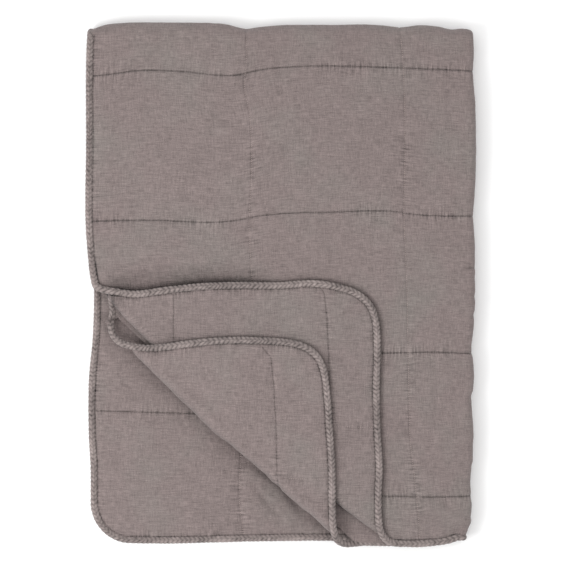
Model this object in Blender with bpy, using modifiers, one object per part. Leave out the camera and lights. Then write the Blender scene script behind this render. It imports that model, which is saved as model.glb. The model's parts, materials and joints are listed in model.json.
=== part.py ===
"""Quilted throw folded in four, with one corner of each upper leaf turned back.

Blender 4.5 script, metres, +Z up. The throw lies on z = 0, its length along Y.

It is folded in half across its width (the side fold, at +X) and then in half along
its length (the top fold, at +Y). That makes four leaves. From the floor up they are
level 0 and 1 (the lower pair), level 2 and 3 (the upper pair); the free corners of
the upper pair are turned back and lie at level 4 and 5.
"""
import math

import bmesh
import bpy
from mathutils import Matrix, Vector

# Driving sizes, each set by itself
FOLDED_WIDTH = 0.642
FOLDED_LENGTH = 0.865
LEAF_THICKNESS = 0.012
CORD_DIAMETER = 0.012
FABRIC_THICKNESS = 0.0014
CORD_COVER_THICKNESS = 0.0011
CORNER_RADIUS = 0.070
FLAP_CORNER_RADIUS = 0.074
COLUMN_WIDTH = 0.260
ROW_LENGTH = 0.2345
FIRST_ROW_UPPER = 0.080      # from the end edge of the upper pair to its first cross seam
FIRST_ROW_LOWER = 0.219      # the same on the lower pair
SEAM_MARGIN = 0.004          # from a leaf's edge to the seam that holds the cord
GROOVE_WIDTH = 0.0012
GROOVE_DEPTH = 0.0007
THREAD_WIDTH = 0.0006
THREAD_THICKNESS = 0.0004
LEAF_GAP = 0.0005            # air between leaves that lie on each other
CLEARANCE = 0.0003           # between pieces that touch on the real throw
CREASE_ANGLE = math.radians(43.5)
CORD_LEAD = 0.004            # straight cord at each end of the turn over the top fold
FOLD_SEGMENTS = 8            # in each half turn
CORNER_SEGMENTS = 8          # in each rounded corner

# Turned back corners: where the square corner now lies, counted from the quilt's own
# bottom left corner, and how far the crease's axis runs from it
FLAP_TOP_CORNER = (0.485, 0.4305)
FLAP_TOP_REACH = 0.306
FLAP_UNDER_CORNER = (0.406, 0.3385)
FLAP_UNDER_REACH = 0.216

# Derived places
PITCH = max(LEAF_THICKNESS, CORD_DIAMETER) + LEAF_GAP
LEVELS = [PITCH * level + (PITCH - LEAF_GAP) / 2 for level in range(6)]
RIGHT = FOLDED_WIDTH / 2
LEFT = -RIGHT
BACK = FOLDED_LENGTH / 2
FRONT = -BACK
FOLD_OUT = (PITCH + LEAF_THICKNESS) / 2      # outside radius of a tight fold
FOLD_IN = (PITCH - LEAF_THICKNESS) / 2       # inside radius of a tight fold
FOLD_REACH = (PITCH + max(LEAF_THICKNESS, CORD_DIAMETER)) / 2     # of cloth or cord, if thicker
SIDE_AXIS_X = RIGHT - FOLD_REACH
TOP_AXIS_Y = BACK - PITCH - FOLD_REACH
TOP_AXIS_Z = (LEVELS[1] + LEVELS[2]) / 2
CREASE_AXIS_Z = (LEVELS[3] + LEVELS[4]) / 2
CORD_RADIUS = CORD_DIAMETER / 2
EDGE_INSET = CORD_DIAMETER + CLEARANCE       # from the outline to a leaf's own edge
ACROSS = Vector((math.sin(CREASE_ANGLE), math.cos(CREASE_ANGLE), 0))     # away from the corner
ALONG = Vector((math.cos(CREASE_ANGLE), -math.sin(CREASE_ANGLE), 0))     # down the crease
UP = Vector((0, 0, 1))
FABRIC_INSET = FABRIC_THICKNESS + CLEARANCE
FAR = 2 * max(FOLDED_WIDTH, FOLDED_LENGTH)

FACE_COLOUR = (0.288, 0.236, 0.224, 1)
BACKING_COLOUR = (0.280, 0.230, 0.218, 1)
BATTING_COLOUR = (0.80, 0.78, 0.73, 1)
CORD_COLOUR = (0.74, 0.71, 0.65, 1)
COVER_COLOUR = (0.270, 0.222, 0.210, 1)
THREAD_COLOUR = (0.330, 0.275, 0.250, 1)


# Scene, collections and materials

def clear_scene():
    for obj in list(bpy.data.objects):
        bpy.data.objects.remove(obj, do_unlink=True)


def new_collection(name):
    collection = bpy.data.collections.new(name)
    bpy.context.scene.collection.children.link(collection)
    return collection


def new_material(name, colour, roughness):
    material = bpy.data.materials.new(name)
    material.use_nodes = True
    shader = material.node_tree.nodes["Principled BSDF"]
    shader.inputs["Base Color"].default_value = colour
    shader.inputs["Roughness"].default_value = roughness
    shader.inputs["Metallic"].default_value = 0.0
    material.diffuse_color = colour
    return material


clear_scene()
PARTS = new_collection("folded_quilt")
CUTTERS = new_collection("cutters")
FACE = new_material("face_fabric", FACE_COLOUR, 0.92)
BACKING = new_material("backing_fabric", BACKING_COLOUR, 0.92)
BATTING = new_material("batting", BATTING_COLOUR, 0.95)
CORD = new_material("cord_core", CORD_COLOUR, 0.90)
COVER = new_material("cord_cover", COVER_COLOUR, 0.90)
THREAD = new_material("thread", THREAD_COLOUR, 0.80)


def empty_at(name, place, parent=None):
    """An empty on a joint's axis, which a moving body's pieces hang from."""
    empty = bpy.data.objects.new(name, None)
    empty.empty_display_size = 0.05
    PARTS.objects.link(empty)
    empty.parent = parent
    empty.location = Vector(place) - (place_of(parent) if parent else Vector())
    return empty


def place_of(empty):
    if empty.parent is None:
        return empty.location.copy()
    return empty.location + place_of(empty.parent)


# Outlines: lists of (x, y) pairs

def arc(centre, radius, start, end, segments):
    """Points on an arc, angles in radians, both ends included."""
    points = []
    for step in range(segments + 1):
        angle = start + (end - start) * step / segments
        points.append((centre[0] + radius * math.cos(angle), centre[1] + radius * math.sin(angle)))
    return points


def pair_outline(middle, outer, inner):
    """Section through two leaves and their side fold, between two radii of the fold."""
    centre = (SIDE_AXIS_X, middle)
    start = LEFT + EDGE_INSET
    outside = arc(centre, outer, math.pi / 2, -math.pi / 2, FOLD_SEGMENTS)
    inside = arc(centre, inner, -math.pi / 2, math.pi / 2, FOLD_SEGMENTS)
    top = [(start, middle + outer)]
    bottom = [(start, middle - outer), (start, middle - inner)]
    return top + outside + bottom + inside + [(start, middle + inner)]


def half_ring(outer, inner):
    """Section through a crease, on the side away from the leaves."""
    outside = arc((0, 0), outer, math.pi / 2, 3 * math.pi / 2, FOLD_SEGMENTS)
    inside = arc((0, 0), inner, 3 * math.pi / 2, math.pi / 2, FOLD_SEGMENTS)
    return outside + inside


def axis_crossing(point, x=None, y=None):
    """Where the crease line through a point meets x or y."""
    if x is not None:
        run = (x - point.x) / ALONG.x
    else:
        run = (y - point.y) / ALONG.y
    return point + ALONG * run


class Flap:
    """A turned back corner: its square corner, its crease and the level it lies at."""

    def __init__(self, corner, reach, level, crease_radius):
        self.corner = Vector((LEFT + corner[0], FRONT + corner[1], 0))
        self.axis = self.corner - ACROSS * reach
        self.level = level
        self.crease_radius = crease_radius

    def outline(self, inset):
        """Plan of the flap, a distance inside its outer edge and clear of its crease."""
        right = self.corner.x - inset
        top = self.corner.y - inset
        radius = FLAP_CORNER_RADIUS - inset
        edge = self.axis + ACROSS * CLEARANCE
        left_end = axis_crossing(edge, y=top)
        front_end = axis_crossing(edge, x=right)
        centre = (right - radius, top - radius)
        corner = arc(centre, radius, math.pi / 2, 0, CORNER_SEGMENTS)
        return [left_end.to_2d()[:]] + corner + [front_end.to_2d()[:]]

    def crease_ends(self, outer):
        """First and last point of the crease's band that stay inside the outline."""
        left_limit = max(LEFT + EDGE_INSET, LEFT + outer * ACROSS.x)
        front_limit = max(FRONT + EDGE_INSET, FRONT + outer * ACROSS.y)
        return axis_crossing(self.axis, x=left_limit), axis_crossing(self.axis, y=front_limit)


FLAP_TOP = Flap(FLAP_TOP_CORNER, FLAP_TOP_REACH, 4, PITCH / 2)
FLAP_UNDER = Flap(FLAP_UNDER_CORNER, FLAP_UNDER_REACH, 5, 3 * PITCH / 2)


# Solids

def curve_mesh(curve):
    """The welded mesh of a curve, with the curve itself removed."""
    holder = bpy.data.objects.new("curve_holder", curve)
    bpy.context.scene.collection.objects.link(holder)
    evaluated = holder.evaluated_get(bpy.context.evaluated_depsgraph_get())
    mesh = bpy.data.meshes.new_from_object(evaluated)
    bpy.data.objects.remove(holder)
    bpy.data.curves.remove(curve)
    work = bmesh.new()
    work.from_mesh(mesh)
    bmesh.ops.remove_doubles(work, verts=work.verts, dist=1e-6)
    bmesh.ops.recalc_face_normals(work, faces=work.faces)
    work.to_mesh(mesh)
    work.free()
    return mesh


def outline_mesh(outline, half_length, matrix):
    """A flat outline given a thickness along the matrix's third axis."""
    curve = bpy.data.curves.new("outline", "CURVE")
    curve.dimensions = "2D"
    curve.fill_mode = "BOTH"
    curve.extrude = half_length
    spline = curve.splines.new("POLY")
    spline.points.add(len(outline) - 1)
    for point, (x, y) in zip(spline.points, outline):
        point.co = (x, y, 0, 1)
    spline.use_cyclic_u = True
    mesh = curve_mesh(curve)
    mesh.transform(matrix)
    return mesh


def section_matrix(first, along, origin):
    """Outline x runs along first, outline y runs up, and the length runs along."""
    matrix = Matrix.Identity(4)
    for column, vector in enumerate((first, UP, along, Vector(origin))):
        for row in range(3):
            matrix[row][column] = vector[row]
    return matrix


def add_piece(name, mesh, material, body):
    """A named piece whose origin is on its body's joint axis."""
    piece = bpy.data.objects.new(name, mesh)
    PARTS.objects.link(piece)
    mesh.transform(Matrix.Translation(-place_of(body)))
    mesh.materials.clear()
    mesh.materials.append(material)
    piece.parent = body
    return piece


def add_cutter(name, mesh):
    cutter = bpy.data.objects.new(name, mesh)
    CUTTERS.objects.link(cutter)
    cutter.hide_render = True
    cutter.display_type = "WIRE"
    return cutter


def cut(piece, cutter, operation="DIFFERENCE"):
    modifier = piece.modifiers.new(cutter.name, "BOOLEAN")
    modifier.operation = operation
    modifier.solver = "EXACT"
    modifier.use_self = operation == "INTERSECT"
    modifier.object = cutter


def box_mesh(low, high, matrix=None):
    mesh = bpy.data.meshes.new("box")
    work = bmesh.new()
    bmesh.ops.create_cube(work, size=1)
    low = Vector(low)
    high = Vector(high)
    bmesh.ops.scale(work, vec=high - low, verts=work.verts)
    bmesh.ops.translate(work, vec=(low + high) / 2, verts=work.verts)
    work.to_mesh(mesh)
    work.free()
    if matrix is not None:
        mesh.transform(matrix)
    return mesh


def joined(meshes):
    """One mesh from several."""
    work = bmesh.new()
    for mesh in meshes:
        work.from_mesh(mesh)
        bpy.data.meshes.remove(mesh)
    result = bpy.data.meshes.new("joined")
    work.to_mesh(result)
    work.free()
    return result


def wall_along(points, width):
    """An upright wall that follows a plan line."""
    curve = bpy.data.curves.new("wall", "CURVE")
    curve.dimensions = "2D"
    curve.fill_mode = "NONE"
    curve.extrude = FAR
    spline = curve.splines.new("POLY")
    spline.points.add(len(points) - 1)
    for point, (x, y) in zip(spline.points, points):
        point.co = (x, y, 0, 1)
    mesh = curve_mesh(curve)
    holder = bpy.data.objects.new("wall_holder", mesh)
    bpy.context.scene.collection.objects.link(holder)
    solidify = holder.modifiers.new("thickness", "SOLIDIFY")
    solidify.thickness = width
    solidify.offset = 0
    solidify.use_even_offset = True
    evaluated = holder.evaluated_get(bpy.context.evaluated_depsgraph_get())
    result = bpy.data.meshes.new_from_object(evaluated)
    bpy.data.objects.remove(holder)
    bpy.data.meshes.remove(mesh)
    return result


def seam_walls(name, columns, rows, edge, width):
    """Upright walls through every stitch line: columns at x, rows at y, and the edge seam."""
    meshes = [box_mesh((x - width / 2, -FAR, -FAR), (x + width / 2, FAR, FAR)) for x in columns]
    meshes += [box_mesh((-FAR, y - width / 2, -FAR), (FAR, y + width / 2, FAR)) for y in rows]
    meshes.append(wall_along(edge, width))
    return add_cutter(name, joined(meshes))


def tube_mesh(points, radius, filled):
    curve = bpy.data.curves.new("cord", "CURVE")
    curve.dimensions = "3D"
    curve.bevel_depth = radius
    curve.bevel_resolution = 2
    curve.use_fill_caps = filled
    spline = curve.splines.new("POLY")
    spline.points.add(len(points) - 1)
    for point, place in zip(spline.points, points):
        point.co = (*place, 1)
    return curve_mesh(curve)


def smooth(mesh):
    for face in mesh.polygons:
        face.use_smooth = len(face.vertices) == 4


# Pieces that every body has

def corded_edge(prefix, points, body):
    """A length of edge cord and the bias strip sewn round it."""
    core_radius = CORD_RADIUS - CORD_COVER_THICKNESS - 2 * CLEARANCE
    core = add_piece(prefix + "_core", tube_mesh(points, core_radius, True), CORD, body)
    cover = add_piece(prefix + "_cover", tube_mesh(points, CORD_RADIUS, False), COVER, body)
    wall = cover.modifiers.new("thickness", "SOLIDIFY")
    wall.thickness = CORD_COVER_THICKNESS
    wall.offset = -1
    wall.use_even_offset = True
    smooth(core.data)
    smooth(cover.data)


def layered_piece(prefix, sections, make_mesh, body, trims, walls):
    """Face fabric, batting, backing fabric and both threads of one pair or flap.

    sections gives each layer's own two limits, which make_mesh turns into a mesh.
    """
    grooves, threads = walls
    groove_cutters = {}
    for side in ("face", "backing"):
        groove = add_cutter(f"{prefix}_{side}_groove", make_mesh(*sections[side + "_groove"]))
        cut(groove, grooves, "INTERSECT")
        groove_cutters[side] = groove
        thread = add_piece(f"{prefix}_{side}_thread", make_mesh(*sections[side + "_thread"]), THREAD, body)
        cut(thread, threads, "INTERSECT")
        for cutter, operation in trims:
            cut(thread, cutter, operation)
    layers = (("face", FACE), ("batting", BATTING), ("backing", BACKING))
    for layer, material in layers:
        suffix = layer if layer == "batting" else layer + "_fabric"
        piece = add_piece(f"{prefix}_{suffix}", make_mesh(*sections[layer]), material, body)
        for cutter, operation in trims:
            cut(piece, cutter, operation)
        if layer in groove_cutters:
            cut(piece, groove_cutters[layer])


def depth_sections(outer, inner):
    """Radii or heights of every layer between the face side and the backing side."""
    sign = 1 if outer > inner else -1
    return {
        "face": (outer, outer - sign * FABRIC_THICKNESS),
        "batting": (outer - sign * FABRIC_INSET, inner + sign * FABRIC_INSET),
        "backing": (inner + sign * FABRIC_THICKNESS, inner),
        "face_thread": (outer, outer - sign * THREAD_THICKNESS),
        "backing_thread": (inner + sign * THREAD_THICKNESS, inner),
        "face_groove": (outer + sign * LEAF_GAP / 2, outer - sign * GROOVE_DEPTH),
        "backing_groove": (inner + sign * GROOVE_DEPTH, inner - sign * LEAF_GAP / 4),
    }


def make_pair(prefix, low_level, first_row, body, trims, corner_radius):
    """Two leaves joined by the side fold."""
    middle = (LEVELS[low_level] + LEVELS[low_level + 1]) / 2
    front = FRONT + EDGE_INSET
    back = TOP_AXIS_Y - CLEARANCE
    matrix = section_matrix(Vector((1, 0, 0)), Vector((0, -1, 0)), (0, (front + back) / 2, 0))

    def pair_mesh(outer, inner):
        return outline_mesh(pair_outline(middle, outer, inner), (back - front) / 2, matrix)

    columns = [LEFT + COLUMN_WIDTH * count for count in (1, 2)]
    rows = []
    row = FRONT + first_row
    while row < back - SEAM_MARGIN:
        rows.append(row)
        row += ROW_LENGTH
    seam_x = LEFT + EDGE_INSET + SEAM_MARGIN
    seam_y = FRONT + EDGE_INSET + SEAM_MARGIN
    edge = [(seam_x, FAR)]
    if corner_radius > 0:
        radius = corner_radius - EDGE_INSET - SEAM_MARGIN
        centre = (seam_x + radius, seam_y + radius)
        edge += arc(centre, radius, math.pi, 3 * math.pi / 2, CORNER_SEGMENTS)
    else:
        edge += [(seam_x, seam_y)]
    edge += [(FAR, seam_y)]
    walls = (seam_walls(prefix + "_groove_walls", columns, rows, edge, GROOVE_WIDTH),
             seam_walls(prefix + "_thread_walls", columns, rows, edge, THREAD_WIDTH))
    layered_piece(prefix, depth_sections(FOLD_OUT, FOLD_IN), pair_mesh, body, trims, walls)


def make_flap(prefix, flap, body, face_down):
    """One turned back corner."""
    bottom = LEVELS[flap.level] - LEAF_THICKNESS / 2
    top = LEVELS[flap.level] + LEAF_THICKNESS / 2
    plan = flap.outline(EDGE_INSET)

    def flap_mesh(first, second):
        matrix = Matrix.Translation((0, 0, (first + second) / 2))
        return outline_mesh(plan, abs(first - second) / 2, matrix)

    columns = [flap.corner.x - FIRST_ROW_UPPER - ROW_LENGTH * count for count in (0, 1)]
    row = flap.corner.y - COLUMN_WIDTH
    seam_x = flap.corner.x - EDGE_INSET - SEAM_MARGIN
    seam_y = flap.corner.y - EDGE_INSET - SEAM_MARGIN
    radius = FLAP_CORNER_RADIUS - EDGE_INSET - SEAM_MARGIN
    corner = arc((seam_x - radius, seam_y - radius), radius, math.pi / 2, 0, CORNER_SEGMENTS)
    edge = [(-FAR, seam_y)] + corner + [(seam_x, -FAR)]
    walls = (seam_walls(prefix + "_groove_walls", columns, [row], edge, GROOVE_WIDTH),
             seam_walls(prefix + "_thread_walls", columns, [row], edge, THREAD_WIDTH))
    sides = (bottom, top) if face_down else (top, bottom)
    layered_piece(prefix, depth_sections(*sides), flap_mesh, body, [], walls)

    middle = flap.outline(CORD_RADIUS)
    clear_left = axis_crossing(flap.axis + ACROSS * CLEARANCE, y=flap.corner.y - CORD_DIAMETER).x
    clear_front = axis_crossing(flap.axis + ACROSS * CLEARANCE, x=flap.corner.x - CORD_DIAMETER).y
    middle[0] = (clear_left, middle[0][1])
    middle[-1] = (middle[-1][0], clear_front)
    corded_edge(prefix + "_cord", [(x, y, LEVELS[flap.level]) for x, y in middle], body)


def make_crease(prefix, flap, body):
    """The rolled band of each layer that joins a flap to its leaf."""
    outer = flap.crease_radius + LEAF_THICKNESS / 2
    inner = flap.crease_radius - LEAF_THICKNESS / 2
    first, last = flap.crease_ends(outer)
    middle = (first + last) / 2
    half_length = (last - first).length / 2
    matrix = section_matrix(ACROSS, ALONG, (middle.x, middle.y, CREASE_AXIS_Z))
    outside, inside = (FACE, BACKING) if flap is FLAP_UNDER else (BACKING, FACE)
    names = ("face", "backing") if flap is FLAP_UNDER else ("backing", "face")
    layers = ((names[0] + "_fabric", outside, outer, outer - FABRIC_THICKNESS),
              ("batting", BATTING, outer - FABRIC_INSET, inner + FABRIC_INSET),
              (names[1] + "_fabric", inside, inner + FABRIC_THICKNESS, inner))
    for suffix, material, high, low in layers:
        mesh = outline_mesh(half_ring(high, low), half_length, matrix)
        add_piece(f"{prefix}_{suffix}", mesh, material, body)


def make_top_fold(body):
    """Both pairs' layers and cords where they turn over the top fold."""
    middle = (LEVELS[2] + LEVELS[3]) / 2
    section = section_matrix(Vector((1, 0, 0)), Vector((0, -1, 0)), (0, TOP_AXIS_Y, 0))
    layers = (("face_fabric", FACE, FOLD_OUT, FOLD_OUT - FABRIC_THICKNESS),
              ("batting", BATTING, FOLD_OUT - FABRIC_INSET, FOLD_IN + FABRIC_INSET),
              ("backing_fabric", BACKING, FOLD_IN + FABRIC_THICKNESS, FOLD_IN))
    for suffix, material, outer, inner in layers:
        mesh = outline_mesh(pair_outline(middle, outer, inner), 0, section)
        work = bmesh.new()
        work.from_mesh(mesh)
        bmesh.ops.spin(work, geom=work.faces[:] + work.edges[:] + work.verts[:], angle=math.pi,
                       cent=(0, TOP_AXIS_Y, TOP_AXIS_Z), axis=(-1, 0, 0), steps=FOLD_SEGMENTS)
        bmesh.ops.recalc_face_normals(work, faces=work.faces)
        work.to_mesh(mesh)
        work.free()
        add_piece(f"top_fold_{suffix}", mesh, material, body)
    for name, radius in (("outer", 3 * PITCH / 2), ("inner", PITCH / 2)):
        turn = arc((TOP_AXIS_Y, TOP_AXIS_Z), radius, math.pi / 2, -math.pi / 2, FOLD_SEGMENTS)
        lead = TOP_AXIS_Y - CORD_LEAD + CLEARANCE
        turn = [(lead, turn[0][1])] + turn + [(lead, turn[-1][1])]
        points = [(LEFT + CORD_RADIUS, y, z) for y, z in turn]
        corded_edge(f"top_fold_{name}_cord", points, body)


def side_turn(low_level, y):
    """The cord's way round the side fold, from the higher leaf to the lower one."""
    middle = (LEVELS[low_level] + LEVELS[low_level + 1]) / 2
    turn = arc((SIDE_AXIS_X, middle), PITCH / 2, math.pi / 2, -math.pi / 2, FOLD_SEGMENTS)
    return [(x, y, z) for x, z in turn]


def make_lower(body):
    radius = CORNER_RADIUS - EDGE_INSET
    left = LEFT + EDGE_INSET
    front = FRONT + EDGE_INSET
    corner = arc((left + radius, front + radius), radius, math.pi, 3 * math.pi / 2, CORNER_SEGMENTS)
    plan = [(left, FAR)] + corner + [(FAR, front), (FAR, FAR)]
    corner_trim = add_cutter("lower_plan", outline_mesh(plan, FAR, Matrix.Identity(4)))
    make_pair("lower", 0, FIRST_ROW_LOWER, body, [(corner_trim, "INTERSECT")], CORNER_RADIUS)

    x = LEFT + CORD_RADIUS
    y = FRONT + CORD_RADIUS
    radius = CORNER_RADIUS - CORD_RADIUS
    corner = arc((x + radius, y + radius), radius, math.pi, 3 * math.pi / 2, CORNER_SEGMENTS)
    plan = [(x, TOP_AXIS_Y - CORD_LEAD)] + corner
    upper_run = [(px, py, LEVELS[1]) for px, py in plan]
    lower_run = [(px, py, LEVELS[0]) for px, py in reversed(plan)]
    corded_edge("lower_cord", upper_run + side_turn(0, y) + lower_run, body)


def crease_box(name, flap, low, high):
    """A cutter for everything on the corner's side of a crease, between two heights."""
    matrix = section_matrix(ACROSS, ALONG, (flap.axis.x, flap.axis.y, 0))
    return add_cutter(name, box_mesh((-FAR, low, -FAR), (CLEARANCE, high, FAR), matrix))


def make_upper(body):
    between = (LEVELS[2] + LEVELS[3]) / 2
    trims = [(crease_box("upper_leaf_trim", FLAP_TOP, between, FAR), "DIFFERENCE"),
             (crease_box("under_leaf_trim", FLAP_UNDER, -FAR, between), "DIFFERENCE")]
    make_pair("upper", 2, FIRST_ROW_UPPER, body, trims, 0)

    x = LEFT + CORD_RADIUS
    y = FRONT + CORD_RADIUS
    back = TOP_AXIS_Y - CORD_LEAD
    ends = {}
    for level, flap in ((3, FLAP_TOP), (2, FLAP_UNDER)):
        line = flap.axis + ACROSS * CLEARANCE
        ends[level] = (axis_crossing(line, x=LEFT).y, axis_crossing(line, y=FRONT).x)
    corded_edge("upper_leaf_side_cord", [(x, back, LEVELS[3]), (x, ends[3][0], LEVELS[3])], body)
    corded_edge("under_leaf_side_cord", [(x, back, LEVELS[2]), (x, ends[2][0], LEVELS[2])], body)
    start = [(ends[3][1], y, LEVELS[3])]
    finish = [(ends[2][1], y, LEVELS[2])]
    corded_edge("upper_end_cord", start + side_turn(2, y) + finish, body)


def main():
    lower = empty_at("lower_leaves", (0, 0, 0))
    upper = empty_at("upper_leaves", (0, TOP_AXIS_Y, TOP_AXIS_Z), lower)
    flap_top = empty_at("corner_flap_top", FLAP_TOP.axis + UP * CREASE_AXIS_Z, upper)
    flap_under = empty_at("corner_flap_under", FLAP_UNDER.axis + UP * CREASE_AXIS_Z, upper)
    make_lower(lower)
    make_top_fold(lower)
    make_upper(upper)
    make_crease("top_crease", FLAP_TOP, upper)
    make_crease("under_crease", FLAP_UNDER, upper)
    make_flap("top_flap", FLAP_TOP, flap_top, face_down=True)
    make_flap("under_flap", FLAP_UNDER, flap_under, face_down=False)


main()
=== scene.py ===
"""The look of a corded quilted throw, folded in four, with two corners turned back.

Every visible cloth surface is a height field over the leaf or turned back corner that
the CAD frame holds, with its seams, puckers and creases worked out by formula. Sizes
are metres in the frame's own axes.
"""
import json
import math

import bmesh
import bpy
import numpy as np
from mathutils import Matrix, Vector


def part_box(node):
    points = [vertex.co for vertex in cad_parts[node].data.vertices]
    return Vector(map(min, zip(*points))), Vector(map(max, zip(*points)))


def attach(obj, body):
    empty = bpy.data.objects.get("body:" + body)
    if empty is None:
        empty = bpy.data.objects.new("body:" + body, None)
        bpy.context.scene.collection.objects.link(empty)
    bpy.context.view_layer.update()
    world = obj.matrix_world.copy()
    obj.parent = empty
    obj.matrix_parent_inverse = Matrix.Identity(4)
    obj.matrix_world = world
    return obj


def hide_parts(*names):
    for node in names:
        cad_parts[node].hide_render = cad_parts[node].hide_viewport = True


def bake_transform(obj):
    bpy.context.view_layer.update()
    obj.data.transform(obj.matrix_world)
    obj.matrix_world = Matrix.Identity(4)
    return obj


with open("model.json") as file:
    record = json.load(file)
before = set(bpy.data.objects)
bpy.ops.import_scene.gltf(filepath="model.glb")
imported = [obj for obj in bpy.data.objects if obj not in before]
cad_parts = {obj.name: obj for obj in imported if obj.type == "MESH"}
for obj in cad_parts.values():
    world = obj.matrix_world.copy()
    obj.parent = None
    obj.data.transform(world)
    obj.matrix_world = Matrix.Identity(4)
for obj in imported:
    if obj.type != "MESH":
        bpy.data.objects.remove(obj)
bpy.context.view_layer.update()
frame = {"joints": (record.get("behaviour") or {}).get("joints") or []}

# ---------------------------------------------------------------- sizes from the frame

_, lower_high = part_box("lower_face_fabric")
upper_low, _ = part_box("upper_face_fabric")
cord_low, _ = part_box("lower_cord_cover")
side_cord_low, side_cord_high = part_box("upper_leaf_side_cord_cover")
JOINTS = {joint["name"]: joint for joint in frame["joints"]}

PITCH = upper_low.z / 2                       # from one leaf's middle to the next
CORD_RADIUS = (side_cord_high.z - side_cord_low.z) / 2
LEAF = lower_high.z - PITCH                   # thickness of a leaf
LEVELS = [LEAF / 2 + PITCH * level for level in range(6)]
LEFT = cord_low.x
RIGHT = lower_high.x
FRONT = cord_low.y
TOP_AXIS_Y, TOP_AXIS_Z = JOINTS["top_fold"]["pos_m"][1:]
FOLD_OUT = (PITCH + LEAF) / 2                 # from a pair's middle to its outer skin
FOLD_IN = (PITCH - LEAF) / 2                  # and to its inner one
SIDE_AXIS_X = RIGHT - FOLD_OUT
COLUMN = 0.260                                # from one lengthwise seam to the next
ROW = 0.2345                                  # from one cross seam to the next
COLUMNS = [LEFT + COLUMN, LEFT + 2 * COLUMN]
UPPER_ROWS = [FRONT + 0.080 + ROW * count for count in range(4)]
LOWER_ROWS = [FRONT + 0.219 + ROW * count for count in range(3)]

FINE = 0.0023        # grid of cloth that shows
MIDDLE = 0.0045      # grid of cloth that shows once a fold is opened

# Reach and depth of the quilting's relief
VALLEY_REACH = 0.0065
VALLEY_DEPTH = 0.0012
STITCH_REACH = 0.0014
STITCH_DEPTH = 0.0011
CROWN_RISE = 0.0014
CROWN_REACH = 0.055
PUCKER_REACH = 0.013
PULL_REACH = 0.010
PUCKER_DEPTH = 0.0008
PUCKER_PITCH = 0.0048
EDGE_FALL = 0.0031
EDGE_REACH = 0.005


# ---------------------------------------------------------------- formulas

def noise(x, y, seed):
    """Smooth noise from -1 to 1, one cell to each unit of x and y."""
    table = np.random.default_rng(seed).random((256, 256)) * 2 - 1
    x0 = np.floor(x).astype(int)
    y0 = np.floor(y).astype(int)
    fx = x - x0
    fy = y - y0
    fx = fx * fx * (3 - 2 * fx)
    fy = fy * fy * (3 - 2 * fy)
    low = table[x0 % 256, y0 % 256] * (1 - fx) + table[(x0 + 1) % 256, y0 % 256] * fx
    high = table[x0 % 256, (y0 + 1) % 256] * (1 - fx) + table[(x0 + 1) % 256, (y0 + 1) % 256] * fx
    return low * (1 - fy) + high * fy


def smoothstep(low, high, value):
    share = np.clip((value - low) / (high - low), 0, 1)
    return share * share * (3 - 2 * share)


def through(*points):
    """A smooth function of one value through points of (value, result)."""
    at = np.array([point[0] for point in points], float)
    result = np.array([point[1] for point in points], float)
    slope = np.gradient(result, at)

    def read(value):
        value = np.clip(np.asarray(value, float), at[0], at[-1])
        index = np.clip(np.searchsorted(at, value) - 1, 0, len(at) - 2)
        width = at[index + 1] - at[index]
        share = (value - at[index]) / width
        square = share * share
        cube = square * share
        return ((2 * cube - 3 * square + 1) * result[index]
                + (cube - 2 * square + share) * width * slope[index]
                + (3 * square - 2 * cube) * result[index + 1]
                + (cube - square) * width * slope[index + 1])

    return read


def smooth_path(points, step):
    """Evenly spaced points on a centripetal curve through 3-D points."""
    points = [np.array(point, float) for point in points]
    points = [2 * points[0] - points[1]] + points + [2 * points[-1] - points[-2]]
    line = []
    for a, b, c, d in zip(points, points[1:], points[2:], points[3:]):
        knots = np.cumsum([0] + [max(np.linalg.norm(q - p), 1e-6) ** 0.5
                                 for p, q in ((a, b), (b, c), (c, d))])
        for t in np.linspace(knots[1], knots[2], 24, endpoint=False):
            ab = (a * (knots[1] - t) + b * t) / knots[1]
            bc = (b * (knots[2] - t) + c * (t - knots[1])) / (knots[2] - knots[1])
            cd = (c * (knots[3] - t) + d * (t - knots[2])) / (knots[3] - knots[2])
            abc = (ab * (knots[2] - t) + bc * t) / knots[2]
            bcd = (bc * (knots[3] - t) + cd * (t - knots[1])) / (knots[3] - knots[1])
            line.append((abc * (knots[2] - t) + bcd * (t - knots[1])) / (knots[2] - knots[1]))
    line.append(points[-2])
    return spaced(np.array(line), step)


def spaced(line, step):
    """The same line with its points a step apart."""
    run = np.concatenate([[0], np.cumsum(np.linalg.norm(np.diff(line, axis=0), axis=1))])
    count = max(2, int(round(run[-1] / step)) + 1)
    at = np.linspace(0, run[-1], count)
    return np.stack([np.interp(at, run, line[:, axis]) for axis in range(line.shape[1])], axis=1)


def distance_to(x, y, line, chunk=20000):
    """Distance in plan from points to a line of points, and how far along it they are."""
    shape = x.shape
    x = x.ravel()
    y = y.ravel()
    start = line[:-1, :2]
    run = line[1:, :2] - start
    length = np.maximum((run ** 2).sum(1), 1e-12)
    along = np.concatenate([[0], np.cumsum(np.sqrt(length))])
    best = np.empty(len(x))
    place = np.empty(len(x))
    for first in range(0, len(x), chunk):
        dx = x[first:first + chunk, None] - start[:, 0]
        dy = y[first:first + chunk, None] - start[:, 1]
        share = np.clip((dx * run[:, 0] + dy * run[:, 1]) / length, 0, 1)
        gap = (dx - share * run[:, 0]) ** 2 + (dy - share * run[:, 1]) ** 2
        pick = gap.argmin(1)
        rows = np.arange(len(pick))
        best[first:first + chunk] = np.sqrt(gap[rows, pick])
        place[first:first + chunk] = along[pick] + share[rows, pick] * np.sqrt(length[pick])
    return best.reshape(shape), place.reshape(shape)


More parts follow.
